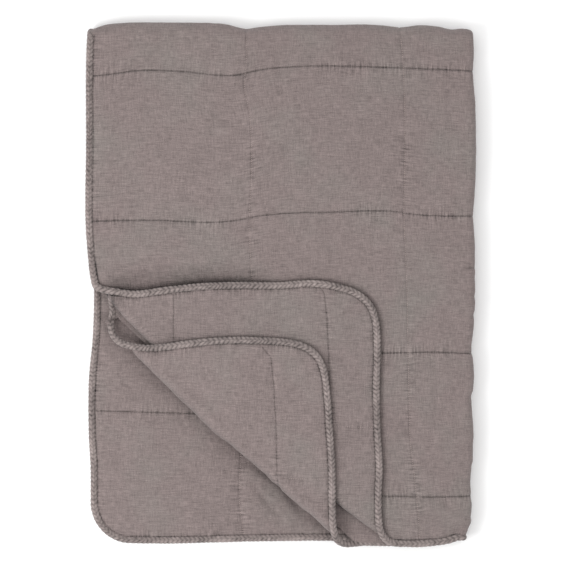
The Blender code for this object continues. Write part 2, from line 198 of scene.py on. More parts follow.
def inside(x, y, outline):
    """Whether points are inside an outline of plan points."""
    result = np.zeros(x.shape, bool)
    for (ax, ay), (bx, by) in zip(outline, np.roll(outline, -1, axis=0)):
        if ay == by:
            continue
        crosses = (ay > y) != (by > y)
        result ^= crosses & (x < (bx - ax) * (y - ay) / (by - ay) + ax)
    return result


def graded(low, high, step, lines):
    """Grid values from low to high, a step apart, with closer ones beside every line."""
    marks = [low] + [line for line in lines if low < line < high] + [high]
    near = [0.0009, 0.0021]
    clear = 0.0037
    values = []
    for start, end in zip(marks, marks[1:]):
        count = max(1, int(math.ceil((end - start - 2 * clear) / step)))
        inner = np.linspace(start + clear, end - clear, count + 1)
        values += [start, start + near[0], start + near[1], *inner, end - near[1], end - near[0]]
    return np.array(values + [high])


# ---------------------------------------------------------------- shapes read off the object

class Line:
    """A crease: its two ends, how far it bows away from the flap, and its turning axis."""

    def __init__(self, start, end, bow, joint):
        self.start = np.array(start, float)
        self.end = np.array(end, float)
        run = self.end - self.start
        self.length = float(np.linalg.norm(run))
        self.along = run / self.length
        self.across = np.array([-self.along[1], self.along[0]])
        self.bow = bow
        axis = np.array(JOINTS[joint]["axis"][:2], float)
        self.axis_point = np.array(JOINTS[joint]["pos_m"][:2], float)
        self.axis_across = np.array([-axis[1], axis[0]])

    def local(self, x, y):
        """Place along the crease, and distance from its visible edge."""
        dx = x - self.start[0]
        dy = y - self.start[1]
        along = dx * self.along[0] + dy * self.along[1]
        across = dx * self.across[0] + dy * self.across[1]
        return along, across + self.bow(along / self.length)

    def world(self, along, across):
        across = across - self.bow(along / self.length)
        x = self.start[0] + along * self.along[0] + across * self.across[0]
        y = self.start[1] + along * self.along[1] + across * self.across[1]
        return x, y

    def past_axis(self, x, y):
        """Distance from the joint's own axis, away from the corner."""
        along_x = (x - self.axis_point[0]) * self.axis_across[0]
        return along_x + (y - self.axis_point[1]) * self.axis_across[1]


TOP_CREASE = Line((-0.300, -0.006), (0.180, -0.430),
                  through((0, 0), (0.15, 0.010), (0.5, 0.015), (0.85, 0.006), (1, 0)),
                  "top_flap_crease")
UNDER_CREASE = Line((-0.284, -0.070), (0.108, -0.434),
                    through((0, 0), (0.15, 0.006), (0.45, 0.008), (0.8, 0.002), (1, 0)),
                    "under_flap_crease")

# Edge cords, as points that the middle of the cord passes through
TOP_FLAP_CORD = [
    (-0.3115, 0.030, LEVELS[3]), (-0.3080, 0.010, LEVELS[3] + 0.0015),
    (-0.3040, -0.003, LEVELS[3] + 0.006),
    (-0.2930, -0.0085, LEVELS[4] - 0.001), (-0.2660, -0.0135, LEVELS[4] + 0.001),
    (-0.2384, -0.0165, LEVELS[4] + 0.005), (-0.1757, -0.0083, LEVELS[4] + 0.009),
    (-0.1196, -0.0033, LEVELS[4] + 0.008), (-0.0668, -0.0017, LEVELS[4] + 0.004),
    (-0.0025, -0.0022, LEVELS[4]),
    (0.0503, 0.0012, LEVELS[4] + 0.001), (0.0850, -0.0030, LEVELS[4] + 0.001),
    (0.1196, -0.0132, LEVELS[4]),
    (0.1444, -0.0314, LEVELS[4]), (0.1559, -0.0578, LEVELS[4]), (0.1592, -0.1073, LEVELS[4]),
    (0.1576, -0.1716, LEVELS[4]), (0.1592, -0.2376, LEVELS[4]), (0.1625, -0.3020, LEVELS[4] + 0.001),
    (0.1609, -0.3515, LEVELS[4]), (0.1625, -0.3960, LEVELS[4]), (0.1680, -0.4130, LEVELS[4] - 0.002),
    (0.1785, -0.4245, LEVELS[3] + 0.004), (0.1930, -0.4285, LEVELS[3] + 0.0005),
    (0.2060, -0.4287, LEVELS[3])]
UNDER_FLAP_CORD = [
    (-0.2860, 0.010, LEVELS[2]), (-0.2800, -0.025, LEVELS[2] + 0.001),
    (-0.2778, -0.0462, LEVELS[2] + 0.004),
    (-0.2808, -0.0644, LEVELS[2] + 0.009), (-0.2765, -0.0840, LEVELS[2] + 0.014),
    (-0.2640, -0.0965, LEVELS[2] + 0.018), (-0.2430, -0.1028, LEVELS[2] + 0.022),
    (-0.2170, -0.1052, LEVELS[3] + 0.016), (-0.1880, -0.1030, LEVELS[5] - 0.002),
    (-0.1592, -0.0990, LEVELS[5] + 0.002),
    (-0.0949, -0.0924, LEVELS[5] + 0.003), (-0.0421, -0.0922, LEVELS[5] + 0.002),
    (0.0107, -0.0957, LEVELS[5]),
    (0.0371, -0.1020, LEVELS[5]), (0.0586, -0.1172, LEVELS[5]), (0.0701, -0.1403, LEVELS[5]),
    (0.0767, -0.1881, LEVELS[5]), (0.0800, -0.2376, LEVELS[5] + 0.001), (0.0842, -0.3020, LEVELS[5]),
    (0.0850, -0.3680, LEVELS[5]), (0.0870, -0.4020, LEVELS[5] - 0.001),
    (0.0925, -0.4200, LEVELS[4] + 0.002),
    (0.1060, -0.4290, LEVELS[3]), (0.1220, -0.4295, LEVELS[2] + 0.003), (0.1380, -0.4280, LEVELS[2])]


# Outline of the leaves, as the place of the middle of the cord
upper_front = through((LEFT, -0.4265), (0.10, -0.4280), (0.206, -0.4287), (0.255, -0.4262),
                      (0.285, -0.4232), (0.302, -0.4200), (0.320, -0.4160))
lower_front = through((LEFT, -0.4235), (-0.24, -0.4255), (-0.19, -0.4258), (-0.067, -0.4228),
                      (0.060, -0.4212), (0.20, -0.4250), (0.260, -0.4262), (0.290, -0.4210),
                      (0.320, -0.4120))
upper_left = through((-0.43, -0.3050), (-0.02, -0.3050), (0.012, -0.3080), (0.040, -0.3120),
                     (0.075, -0.3150), (0.24, -0.3158), (0.38, -0.3152), (0.43, -0.3130))
under_left = through((-0.43, -0.2780), (-0.05, -0.2785), (-0.01, -0.2830), (0.05, -0.3000),
                     (0.12, -0.3110), (0.26, -0.3140), (0.43, -0.3130))
lower_left = through((-0.43, -0.3110), (-0.36, -0.3100), (-0.30, -0.3105), (-0.2570, -0.3130),
                     (-0.1580, -0.3128), (-0.0840, -0.3062), (0.0150, -0.3055), (0.08, -0.3110),
                     (0.2, -0.3140), (0.43, -0.3135))


# How far the two folds stand in from their nominal places
side_waves = through((-0.43, -0.0190), (-0.415, -0.0110), (-0.39, -0.0050), (-0.36, -0.0042),
                     (-0.33, -0.0060), (-0.28, -0.0020), (-0.24, -0.0032), (-0.20, -0.0058),
                     (-0.15, -0.0015), (-0.114, -0.0042), (-0.06, -0.0005), (0.0, 0.0), (0.06, 0.0008),
                     (0.112, -0.0018), (0.17, 0.0008), (0.30, 0.0006), (0.352, -0.0020),
                     (0.39, -0.0008), (0.43, -0.0040))
top_bulge = through((-0.321, -0.0130), (-0.312, -0.0100), (-0.290, -0.0030), (-0.255, 0.0006),
                    (-0.20, 0.0012), (-0.14, 0.0008), (-0.090, -0.0020), (-0.058, -0.0088),
                    (-0.030, -0.0058), (0.0, -0.0035), (0.08, -0.0030), (0.17, -0.0032),
                    (0.200, -0.0060), (0.23, -0.0035), (0.262, -0.0060), (0.285, -0.0105),
                    (0.300, -0.0090), (0.322, -0.0130))


def side_bulge(y):
    """The side fold's waves, with small scallops where its front half is pulled in."""
    y = np.asarray(y, float)
    scallops = noise(y / 0.0105, np.zeros(np.shape(y)), 31) * 0.0013 * smoothstep(0.10, -0.05, y)
    return scallops + side_waves(y)


UPPER_COLUMN_SHAPES = [
    through((-0.43, -0.047), (0.005, -0.047), (0.107, -0.052), (0.163, -0.0487), (0.285, -0.052),
            (0.332, -0.060), (0.361, -0.057), (0.43, -0.057)),
    through((-0.43, 0.2290), (-0.401, 0.2285), (-0.328, 0.222), (-0.251, 0.2137), (-0.188, 0.212),
            (-0.107, 0.2104),
            (-0.006, 0.2087), (0.119, 0.2038), (0.23, 0.2054), (0.37, 0.202), (0.43, 0.197))]
UPPER_ROW_SHAPES = [
    through((-0.32, -0.350), (0.18, -0.350), (0.25, -0.3515), (0.32, -0.350)),
    through((-0.32, -0.114), (0.16, -0.1140), (0.25, -0.1125), (0.32, -0.1145)),
    through((-0.32, 0.1035), (-0.23, 0.1056), (-0.072, 0.1056), (-0.042, 0.1114), (0.0817, 0.1188),
            (0.197, 0.1188), (0.22, 0.1155), (0.32, 0.112)),
    through((-0.32, 0.3435), (-0.296, 0.345), (-0.227, 0.353), (-0.1675, 0.3515), (-0.065, 0.3465),
            (-0.042, 0.352),
            (0.0404, 0.3597), (0.1147, 0.3597), (0.197, 0.357), (0.32, 0.352))]
LOWER_COLUMN_SHAPES = [
    through((-0.43, -0.0615), (-0.417, -0.0620), (-0.36, -0.0685), (-0.292, -0.0668), (-0.1, -0.062),
            (0.43, -0.060)),
    through((-0.43, 0.199), (0.43, 0.199))]
LOWER_ROW_SHAPES = [
    through((-0.32, -0.2105), (-0.25, -0.2120), (-0.156, -0.2145), (0.32, -0.2135)),
    through((-0.32, 0.021), (0.32, 0.021)),
    through((-0.32, 0.2555), (0.32, 0.2555))]


class Plan:
    """Where a leaf's own square coordinates come to lie: u across the leaf, v along it."""

    def __init__(self, left, front, columns, rows, row_shapes):
        self.u_marks = [LEFT + CORD_RADIUS] + COLUMNS + [SIDE_AXIS_X]
        self.u_shapes = [left] + columns + [lambda v: SIDE_AXIS_X + side_bulge(v)]
        self.v_marks = [FRONT + CORD_RADIUS] + rows + [TOP_AXIS_Y]
        self.v_shapes = [front] + row_shapes + [lambda u: TOP_AXIS_Y + 0 * u]   # straight, for the hinge

    def place(self, u, v):
        shifted_u = u + self.shift(u, v, self.u_marks, self.u_shapes)
        shifted_v = v + self.shift(v, u, self.v_marks, self.v_shapes)
        return shifted_u, shifted_v

    @staticmethod
    def shift(value, other, marks, shapes):
        gaps = [shape(other) - mark for mark, shape in zip(marks, shapes)]
        result = np.zeros(np.broadcast(value, other).shape)
        index = np.clip(np.searchsorted(marks, value, side="right") - 1, 0, len(marks) - 2)
        for step in range(len(marks) - 1):
            width = marks[step + 1] - marks[step]
            share = (value - marks[step]) / width
            result = np.where(index == step, gaps[step] * (1 - share) + gaps[step + 1] * share, result)
        return result


UPPER_PLAN = Plan(upper_left, upper_front, UPPER_COLUMN_SHAPES, UPPER_ROWS, UPPER_ROW_SHAPES)
UNDER_PLAN = Plan(under_left, upper_front, UPPER_COLUMN_SHAPES, UPPER_ROWS, UPPER_ROW_SHAPES)
LOWER_PLAN = Plan(lower_left, lower_front, LOWER_COLUMN_SHAPES, LOWER_ROWS, LOWER_ROW_SHAPES)


# ---------------------------------------------------------------- relief of the quilting

def seam_relief(gap, along, seed, depth=1.0):
    """Height and puckering of the cloth beside one line of stitching; the puckering is also painted into
    the colour as shade and light.
    """
    away = np.abs(gap)
    valley = -VALLEY_DEPTH * np.exp(-away / VALLEY_REACH) - STITCH_DEPTH * np.exp(-away / STITCH_REACH)
    strength = 0.62 + 0.5 * noise(along / 0.034, gap * 0 + seed, seed + 7)
    wave = noise(along / PUCKER_PITCH + noise(along / 0.03, gap / 0.02, seed + 3) * 0.6, gap / 0.030,
                 seed)
    wave = wave + 0.5 * noise(along / (PUCKER_PITCH * 2.3), gap / 0.05, seed + 5)
    pucker = wave * strength * np.exp(-away / PUCKER_REACH)
    return (valley + PUCKER_DEPTH * pucker) * depth, pucker * depth


def edge_relief(gap, along, seed):
    """The same beside the corded edge, gap counted from the middle of the cord."""
    away = np.maximum(gap - CORD_RADIUS, 0)
    fall = -EDGE_FALL * np.exp(-away / EDGE_REACH) - 0.0006 * np.exp(-away / 0.0022)
    wave = noise(along / 0.0052, gap / 0.030, seed) + 0.4 * noise(along / 0.013, gap / 0.05, seed + 1)
    pucker = wave * np.exp(-away / 0.010) * (0.7 + 0.5 * noise(along / 0.05, gap * 0, seed + 2))
    return fall + 0.0009 * pucker, pucker


def cloth_relief(x, y, seed):
    """Soft unevenness of a washed quilt, away from its seams."""
    return (0.0012 * noise(x / 0.085, y / 0.075, seed) + 0.00065 * noise(x / 0.034, y / 0.030, seed + 1)
            + 0.00032 * noise(x / 0.011, y / 0.016, seed + 2)
            + 0.00042 * noise(x / 0.042, y / 0.011, seed + 3)
            + 0.00026 * noise(x / 0.010, y / 0.034, seed + 4))


def crease(x, y, start, end, width, depth):
    """A soft line pressed into the cloth, fading at both ends."""
    line = np.array([start, end], float)
    gap, along = distance_to(x, y, line)
    length = np.linalg.norm(line[1] - line[0])
    fade = smoothstep(0, 0.35, along / length) * smoothstep(0, 0.35, 1 - along / length)
    return -depth * np.exp(-(gap / width) ** 2) * (0.25 + 0.75 * fade)


class Relief:
    """Adds up the height, the puckering with its painted shade, and closeness to stitching over a
    surface.
    """

    def __init__(self, x, y, seed):
        self.x = x
        self.y = y
        self.seed = seed
        self.height = cloth_relief(x, y, seed)
        self.pucker = np.zeros(x.shape)
        self.seam = np.zeros(x.shape)
        self.pull = [np.zeros(x.shape), np.zeros(x.shape)]
        self.crown = np.ones(x.shape)

    def add_pull(self, gap, along, share, upright):
        """Pulls the cloth across a seam; upright is how much the seam runs along y."""
        strength = np.clip(0.55 + 0.75 * noise(along / 0.045, along * 0 + 3, self.seed + 9), 0.1, 1.2)
        pull = np.exp(-np.abs(gap) / PULL_REACH) * strength * share
        self.pull[0] = np.maximum(self.pull[0], pull * upright)
        self.pull[1] = np.maximum(self.pull[1], pull * (1 - upright))

    def seam_line(self, gap, along, share=1.0, upright=0.0, dark=1.0):
        self.seed += 11
        height, pucker = seam_relief(gap, along, self.seed)
        self.height = self.height + height * share
        self.pucker = self.pucker + pucker * share
        self.seam = np.maximum(self.seam, np.exp(-(gap / 0.0012) ** 2) * share * dark)
        self.crown = self.crown * (1 - np.exp(-np.abs(gap) / CROWN_REACH) * share)
        self.add_pull(gap, along, share, upright)

    def edge(self, path):
        self.seed += 11
        gap, along = distance_to(self.x, self.y, path)
        height, pucker = edge_relief(gap, along, self.seed)
        self.height = self.height + height
        self.pucker = self.pucker + pucker
        self.seam = np.maximum(self.seam, np.exp(-((gap - CORD_RADIUS) / 0.0011) ** 2) * 1.3)
        self.crown = self.crown * (1 - np.exp(-gap / CROWN_REACH))
        steps = np.diff(path[:, :2], axis=0)
        length = np.linalg.norm(steps, axis=1)
        upright = (steps[:, 1] / np.maximum(length, 1e-9)) ** 2
        self.add_pull(gap - CORD_RADIUS, along, 0.8,
                      np.interp(along, np.cumsum(length) - length / 2, upright))
        return gap, along

    def total(self):
        return self.height + CROWN_RISE * self.crown


# ---------------------------------------------------------------- meshes

def put_attribute(mesh, name, kind, values):
    attribute = mesh.attributes.new(name, kind, "POINT")
    field = "vector" if kind == "FLOAT_VECTOR" else "value"
    attribute.data.foreach_set(field, np.asarray(values, np.float32).ravel())


def new_piece(name, points, faces, cloth, pucker, pull):
    """A mesh object with the attributes that the materials read."""
    mesh = bpy.data.meshes.new(name)
    mesh.vertices.add(len(points))
    mesh.vertices.foreach_set("co", np.asarray(points, np.float32).ravel())
    mesh.loops.add(faces.size)
    mesh.loops.foreach_set("vertex_index", faces.ravel().astype(np.int32))
    mesh.polygons.add(len(faces))
    mesh.polygons.foreach_set("loop_start", np.arange(0, faces.size, faces.shape[1], dtype=np.int32))
    mesh.polygons.foreach_set("use_smooth", np.ones(len(faces), bool))
    mesh.update(calc_edges=True)
    put_attribute(mesh, "cloth", "FLOAT_VECTOR", cloth)
    put_attribute(mesh, "pucker", "FLOAT", pucker)
    put_attribute(mesh, "pull", "FLOAT_VECTOR", pull)
    piece = bpy.data.objects.new(name, mesh)
    bpy.context.scene.collection.objects.link(piece)
    return piece


def grid_faces(rows, columns, keep):
    """Quads of a grid whose four corners are all kept."""
    index = np.arange(rows * columns).reshape(rows, columns)
    whole = keep[:-1, :-1] & keep[1:, :-1] & keep[1:, 1:] & keep[:-1, 1:]
    corners = [index[:-1, :-1], index[:-1, 1:], index[1:, 1:], index[1:, :-1]]
    return np.stack([corner[whole] for corner in corners], axis=1)


def used_only(faces, *arrays):
    used = np.unique(faces)
    renumber = np.zeros(used.max() + 1, int)
    renumber[used] = np.arange(len(used))
    return (renumber[faces], *[array.reshape(-1, *array.shape[2:])[used] for array in arrays])


def sheet_piece(name, points, keep, cloth, relief, flip=False):
    """An open sheet over a grid of points."""
    faces = grid_faces(*keep.shape, keep)
    if flip:
        faces = faces[:, ::-1]
    pull = np.stack([*relief.pull, relief.seam], axis=-1)
    faces, points, cloth, pucker, pull = used_only(faces, points, cloth, relief.pucker, pull)
    return new_piece(name, points, faces, cloth, pucker, pull)


def pad_piece(name, high, low, keep):
    """A closed pad between two grids of points."""
    faces = grid_faces(*keep.shape, keep)
    faces, high, low = used_only(faces, high, low)
    count = len(high)
    edges = np.concatenate([faces[:, [0, 1]], faces[:, [1, 2]], faces[:, [2, 3]], faces[:, [3, 0]]])
    key = np.sort(edges, axis=1)
    _, first, uses = np.unique(key, axis=0, return_index=True, return_counts=True)
    rim = edges[first[uses == 1]]
    walls = np.stack([rim[:, 1], rim[:, 0], rim[:, 0] + count, rim[:, 1] + count], axis=1)
    every = np.concatenate([faces, faces[:, ::-1] + count, walls])
    points = np.concatenate([high, low])
    return new_piece(name, points, every, points, np.zeros(len(points)), points * 0)


def tube_frames(line):
    """Two directions square to a line of points, all along it."""
    tangent = np.gradient(line, axis=0)
    tangent /= np.linalg.norm(tangent, axis=1)[:, None]
    side = np.zeros_like(tangent)
    start = np.array([0.0, 0.0, 1.0]) if abs(tangent[0][2]) < 0.9 else np.array([0.0, 1.0, 0.0])
    last = start - tangent[0] * start.dot(tangent[0])
    for index, along in enumerate(tangent):
        last = last - along * last.dot(along)
        last /= np.linalg.norm(last)
        side[index] = last
    return side, np.cross(tangent, side)


def tube_piece(name, line, radius, sides, shape):
    """A tube along a line; shape gives its radius factor from place along and round."""
    up, out = tube_frames(line)
    run = np.concatenate([[0], np.cumsum(np.linalg.norm(np.diff(line, axis=0), axis=1))])
    angle = np.arange(sides) / sides * 2 * np.pi
    along, round_it = np.meshgrid(run, angle, indexing="ij")
    factor = shape(along, round_it)
    points = (line[:, None, :] + up[:, None, :] * (np.cos(round_it) * factor * radius)[..., None]
              + out[:, None, :] * (np.sin(round_it) * factor * radius)[..., None])
    index = np.arange(len(run) * sides).reshape(len(run), sides)
    turned = np.roll(index, -1, axis=1)
    faces = np.stack([index[:-1], turned[:-1], turned[1:], index[1:]], axis=-1).reshape(-1, 4)
    cloth = np.stack([along, round_it * radius, along * 0], axis=-1).reshape(-1, 3)
    # How far the radius falls in goes to the colour tone: painted shade where a cord's cover is pinched
    # in.
    return new_piece(name, points.reshape(-1, 3), faces[:, ::-1], cloth, (factor - 1).ravel() * 6,
                     cloth * 0)


# ---------------------------------------------------------------- the folded throw's skins

CORNER = 0.062           # radius of the lower corners, to the middle of the cord
EDGE_U = LEFT + CORD_RADIUS
EDGE_V = FRONT + CORD_RADIUS
PAIR_REACH = PITCH       # from the top fold's axis to the middle of a pair of leaves


def pair_points(u, turn, v, roll, reach, rise):
    """Points of a skin: turn goes 0 to pi round the side fold, roll 0 to pi over the top fold."""
    top_x, top_y = UPPER_PLAN.place(u, v)
    under_x, under_y = UNDER_PLAN.place(u, v)
    low_x, low_y = LOWER_PLAN.place(u, v)
    side = turn / np.pi
    over = roll / np.pi
    x = (top_x * (1 - side) + under_x * side) * (1 - over) + low_x * over
    y = (top_y * (1 - side) + under_y * side) * (1 - over) + low_y * over
    far = reach + rise
    arm = PAIR_REACH + far * np.cos(turn)
    bulge = 1 + top_bulge(x) / (PAIR_REACH + FOLD_OUT)
    return np.stack([x + far * np.sin(turn), y + arm * bulge * np.sin(roll),
                     TOP_AXIS_Z + arm * np.cos(roll)], axis=-1)


def edge_line(plan, rounded):
    """The middle of the cord in plan: down the left edge, and along the front to the side fold."""
    if rounded:
        angle = np.linspace(np.pi, 1.5 * np.pi, 25)
        corner_u = EDGE_U + CORNER + CORNER * np.cos(angle)
        corner_v = EDGE_V + CORNER + CORNER * np.sin(angle)
    else:
        corner_u, corner_v = np.array([EDGE_U]), np.array([EDGE_V])
    down = np.arange(TOP_AXIS_Y, corner_v[0], -0.008)
    right = np.append(np.arange(corner_u[-1] + 0.008, SIDE_AXIS_X - 0.002, 0.008), SIDE_AXIS_X)
    u = np.concatenate([np.full(len(down), EDGE_U), corner_u, right])
    v = np.concatenate([down, corner_v, np.full(len(right), EDGE_V)])
    return np.stack(plan.place(u, v), axis=1)


LOWER_EDGE = edge_line(LOWER_PLAN, True)
UPPER_EDGE = edge_line(UPPER_PLAN, False)
UNDER_EDGE = edge_line(UNDER_PLAN, False)
TOP_FLAP_LINE = smooth_path(TOP_FLAP_CORD, 0.0012)
UNDER_FLAP_LINE = smooth_path(UNDER_FLAP_CORD, 0.0012)


def flap_outline(line, crease_line):
    """The flap's cord and the far side of its crease, as one outline."""
    out = crease_line.across * 0.045
    first, last = line[0, :2], line[-1, :2]
    return np.concatenate([line[::8, :2], [last - out, first - out]])


TOP_OUTLINE = flap_outline(TOP_FLAP_LINE[16:-20], TOP_CREASE)
UNDER_OUTLINE = flap_outline(UNDER_FLAP_LINE[50:-30], UNDER_CREASE)


def outline_gap(x, y, line, outline):
    """Distance in plan from a turned back corner's cord, negative under the corner."""
    gap, _ = distance_to(x, y, line[::8])
    return np.where(inside(x, y, outline), -gap, gap)


def quilted(x, y, seed, columns, rows, edge, dark):
    """Relief of a leaf with its seams and its corded edge."""
    relief = Relief(x, y, seed)
    for column in columns:
        relief.seam_line(x - column(y), y, upright=1.0, dark=dark)
    for row in rows:
        relief.seam_line(y - row(x), x)
    relief.edge(edge)
    return relief


def creased(x, y, rise, creases):
    """Adds single creases of (start, end, width, depth) to a surface."""
    for start, end, width, depth in creases:
        rise = rise + crease(x, y, start, end, width, depth)
    return rise


def upper_relief(x, y):
    """Relief of the uppermost leaf's face, with painted shade by the top corner's cord."""
    relief = quilted(x, y, 100, UPPER_COLUMN_SHAPES, UPPER_ROW_SHAPES, UPPER_EDGE, 0.25)
    relief.seam_line(y - 0.026, x, smoothstep(0.290, 0.305, x) * 0.7)
    gap = outline_gap(x, y, TOP_FLAP_LINE, TOP_OUTLINE)
    rise = relief.total()
    trough = smoothstep(-0.292, -0.262, x) * smoothstep(0.03, -0.11, x) * smoothstep(0.040, 0.006, y)
    rise = rise - 0.0075 * trough * smoothstep(-0.03, 0.0, y)
    outside = np.maximum(gap - CORD_RADIUS, 0)
    beyond = smoothstep(0.0, 0.004, gap)
    # Painted shadow: the colour is darkened in the trough above the top corner's cord and in a narrow
    # band just outside that cord.
    shade = 3.8 * trough * np.exp(-outside / 0.018) + 2.2 * np.exp(-outside / 0.0032)
    relief.pucker = relief.pucker - shade * beyond
    swell = 0.0030 * np.exp(-((y - 0.052) / 0.018) ** 2) * smoothstep(-0.29, -0.2, x)
    rise = rise + swell * smoothstep(0.0, -0.1, x)
    rise = creased(x, y, rise, (
        ((-0.300, 0.012), (-0.215, 0.040), 0.0050, 0.0028),
        ((-0.300, 0.030), (-0.225, 0.075), 0.0060, 0.0020),
        ((-0.292, 0.000), (-0.200, 0.016), 0.0045, 0.0030),
        ((-0.080, 0.014), (0.020, 0.020), 0.0060, 0.0020),
        ((0.150, 0.010), (0.205, 0.045), 0.0070, 0.0014),
        ((0.168, -0.200), (0.205, -0.160), 0.0070, 0.0016),
        ((0.170, -0.330), (0.215, -0.290), 0.0080, 0.0018),
        ((0.235, -0.240), (0.300, -0.190), 0.0090, 0.0016),
        ((0.180, -0.405), (0.225, -0.372), 0.0060, 0.0018),
        ((-0.290, 0.190), (-0.200, 0.300), 0.0120, 0.0012),
        ((-0.020, 0.180), (0.120, 0.300), 0.0140, 0.0010),
        ((0.225, 0.150), (0.300, 0.270), 0.0110, 0.0011)))
    free = smoothstep(0.004, 0.026, gap)
    covered = np.minimum(rise, 0) - 0.0008 - 0.0016 * np.exp(-(gap / 0.009) ** 2)
    return rise * free + covered * (1 - free), relief


def under_relief(x, y):
    """Relief of a leaf's face that lies on another: it only dips."""
    relief = quilted(x, y, 300, UPPER_COLUMN_SHAPES, UPPER_ROW_SHAPES, UNDER_EDGE, 0.25)
    return np.minimum(relief.height * 0.8, 0) - 0.0003, relief


def lower_relief(x, y):
    """Relief of the lower pair's face under the corner that shows, with a painted shadow along the under
    corner's crease.
    """
    relief = quilted(x, y, 500, LOWER_COLUMN_SHAPES, LOWER_ROW_SHAPES, LOWER_EDGE, 0.5)
    rise = relief.total()
    rise = creased(x, y, rise, (
        ((-0.060, -0.290), (0.030, -0.352), 0.0065, 0.0045),
        ((-0.045, -0.335), (0.008, -0.396), 0.0060, 0.0038),
        ((0.000, -0.330), (0.040, -0.384), 0.0070, 0.0050),
        ((-0.262, -0.128), (-0.205, -0.120), 0.0030, 0.0024),
        ((-0.250, -0.151), (-0.175, -0.146), 0.0032, 0.0024),
        ((-0.270, -0.160), (-0.245, -0.172), 0.0030, 0.0020),
        ((-0.305, -0.228), (-0.280, -0.240), 0.0025, 0.0016),
        ((-0.185, -0.398), (-0.150, -0.408), 0.0025, 0.0018),
        ((-0.240, -0.300), (-0.160, -0.260), 0.0100, 0.0016),
        ((-0.300, -0.150), (-0.270, -0.190), 0.0060, 0.0016),
        ((-0.200, -0.380), (-0.120, -0.330), 0.0120, 0.0014),
        ((-0.290, -0.250), (-0.250, -0.330), 0.0110, 0.0012)))
    place, across = UNDER_CREASE.local(x, y)
    free = smoothstep(0.006, -0.022, across)
    # Painted shadow: a dark band along the under corner's crease, darker towards its far end.
    shade = (1.2 + 1.3 * smoothstep(0.15, 0.5, place)) * np.exp(-np.abs(across) / 0.013)
    relief.pucker = relief.pucker - shade
    covered = np.minimum(rise, 0) - 0.0005
    return rise * free + covered * (1 - free), relief


def ground_relief(x, y):
    """Relief of the face that the throw lies on."""
    relief = quilted(x, y, 700, LOWER_COLUMN_SHAPES, LOWER_ROW_SHAPES, LOWER_EDGE, 0.5)
    return np.minimum(relief.height * 0.8, 0) - 0.0002, relief


def pair_skin(name, across, along, reach, relief_of, keep_of=None, flip=False):
    """A skin over grid lines across (u, turn) and along (v, roll) a pair of leaves."""
    u, v = np.meshgrid(across[0], along[0])
    turn, roll = np.meshgrid(across[1], along[1])
    flat = pair_points(u, turn, v, roll, reach, np.zeros(u.shape))
    x = flat[..., 0] + reach * (turn - np.sin(turn)) * (turn < np.pi)
    y = flat[..., 1] + (PAIR_REACH + reach * np.cos(turn)) * (roll - np.sin(roll)) * (roll < np.pi)
    rise, relief = relief_of(x, y)
    side_turned = np.where(turn < np.pi, turn, 0)
    top_turned = np.where(roll < np.pi, roll, 0)
    fade = np.cos(side_turned / 2) ** 2 * np.cos(top_turned / 2) ** 2
    points = pair_points(u, turn, v, roll, reach, rise * fade)
    keep = np.ones(u.shape, bool) if keep_of is None else keep_of(u, v, x, y)
    cloth = np.stack([u + reach * turn, v + (PAIR_REACH + reach) * roll, u * 0], axis=-1)
    return sheet_piece(name, points, keep, cloth, relief, flip)


def cut_at_axis(piece, crease_line, tip=0.0):
    """Trims a mesh along its crease's turning axis, but for a tip at the crease's start."""
    mesh = bmesh.new()
    mesh.from_mesh(piece.data)
    normal = -Vector((*crease_line.axis_across, 0))
    point = Vector((*crease_line.axis_point, 0))
    bmesh.ops.bisect_plane(mesh, geom=mesh.verts[:] + mesh.edges[:] + mesh.faces[:], plane_co=point,
                           plane_no=normal)
    beyond = []
    for face in mesh.faces:
        centre = face.calc_center_median()
        along, _ = crease_line.local(centre.x, centre.y)
        if (centre - point).dot(normal) > 0 and along > tip:
            beyond.append(face)
    bmesh.ops.delete(mesh, geom=beyond, context="FACES")
    mesh.to_mesh(piece.data)
    mesh.free()


def plain_relief(x, y):
    """A skin that never shows."""
    return np.zeros(x.shape) - 0.00005, Relief(x, y, 900)


def strip(*runs):
    """Grid line made of runs of (values, angles)."""
    pairs = [np.broadcast_arrays(np.atleast_1d(np.asarray(value, float)), angle) for value, angle in runs]
    return [np.concatenate([pair[side] for pair in pairs]) for side in (0, 1)]


def corner_area(crease_line):
    """Plan area of a leaf's corner past its crease's turning axis."""
    gap = float(crease_line.past_axis(EDGE_U, EDGE_V))
    return gap * gap / abs(2 * crease_line.axis_across[0] * crease_line.axis_across[1])


LEAF_WIDTH = SIDE_AXIS_X - EDGE_U             # cloth of a leaf between its cord and the side fold's axis
SIDE_TURN = np.pi * FOLD_OUT                  # cloth that goes round the side fold


u_fine = graded(EDGE_U, SIDE_AXIS_X, FINE, COLUMNS)
v_fine = graded(EDGE_V, TOP_AXIS_Y, FINE, UPPER_ROWS)
u_middle = graded(EDGE_U, SIDE_AXIS_X, MIDDLE, COLUMNS)
v_middle = graded(EDGE_V, TOP_AXIS_Y, MIDDLE, UPPER_ROWS)
v_lower = graded(EDGE_V, TOP_AXIS_Y, MIDDLE, LOWER_ROWS)
u_coarse = np.linspace(EDGE_U, SIDE_AXIS_X, 70)
v_coarse = np.linspace(EDGE_V, TOP_AXIS_Y, 90)
SHOWING = 0.14           # the lower pair's uncovered corner ends before here
u_showing = np.concatenate([u_fine[u_fine < SHOWING], u_middle[u_middle >= SHOWING]])
v_lower_fine = graded(EDGE_V, TOP_AXIS_Y, FINE, LOWER_ROWS)
v_showing = np.concatenate([v_lower_fine[v_lower_fine < 0.03], v_lower[v_lower >= 0.03]])
turning = np.linspace(0, np.pi, 21)      # angles round the side fold
rolling = np.linspace(0, np.pi, 33)      # angles over the top fold


def by_crease(crease_line):
    """Keeps a leaf's cloth up to its crease's visible edge."""
    return lambda u, v, x, y: crease_line.local(x, y)[1] > 0.002


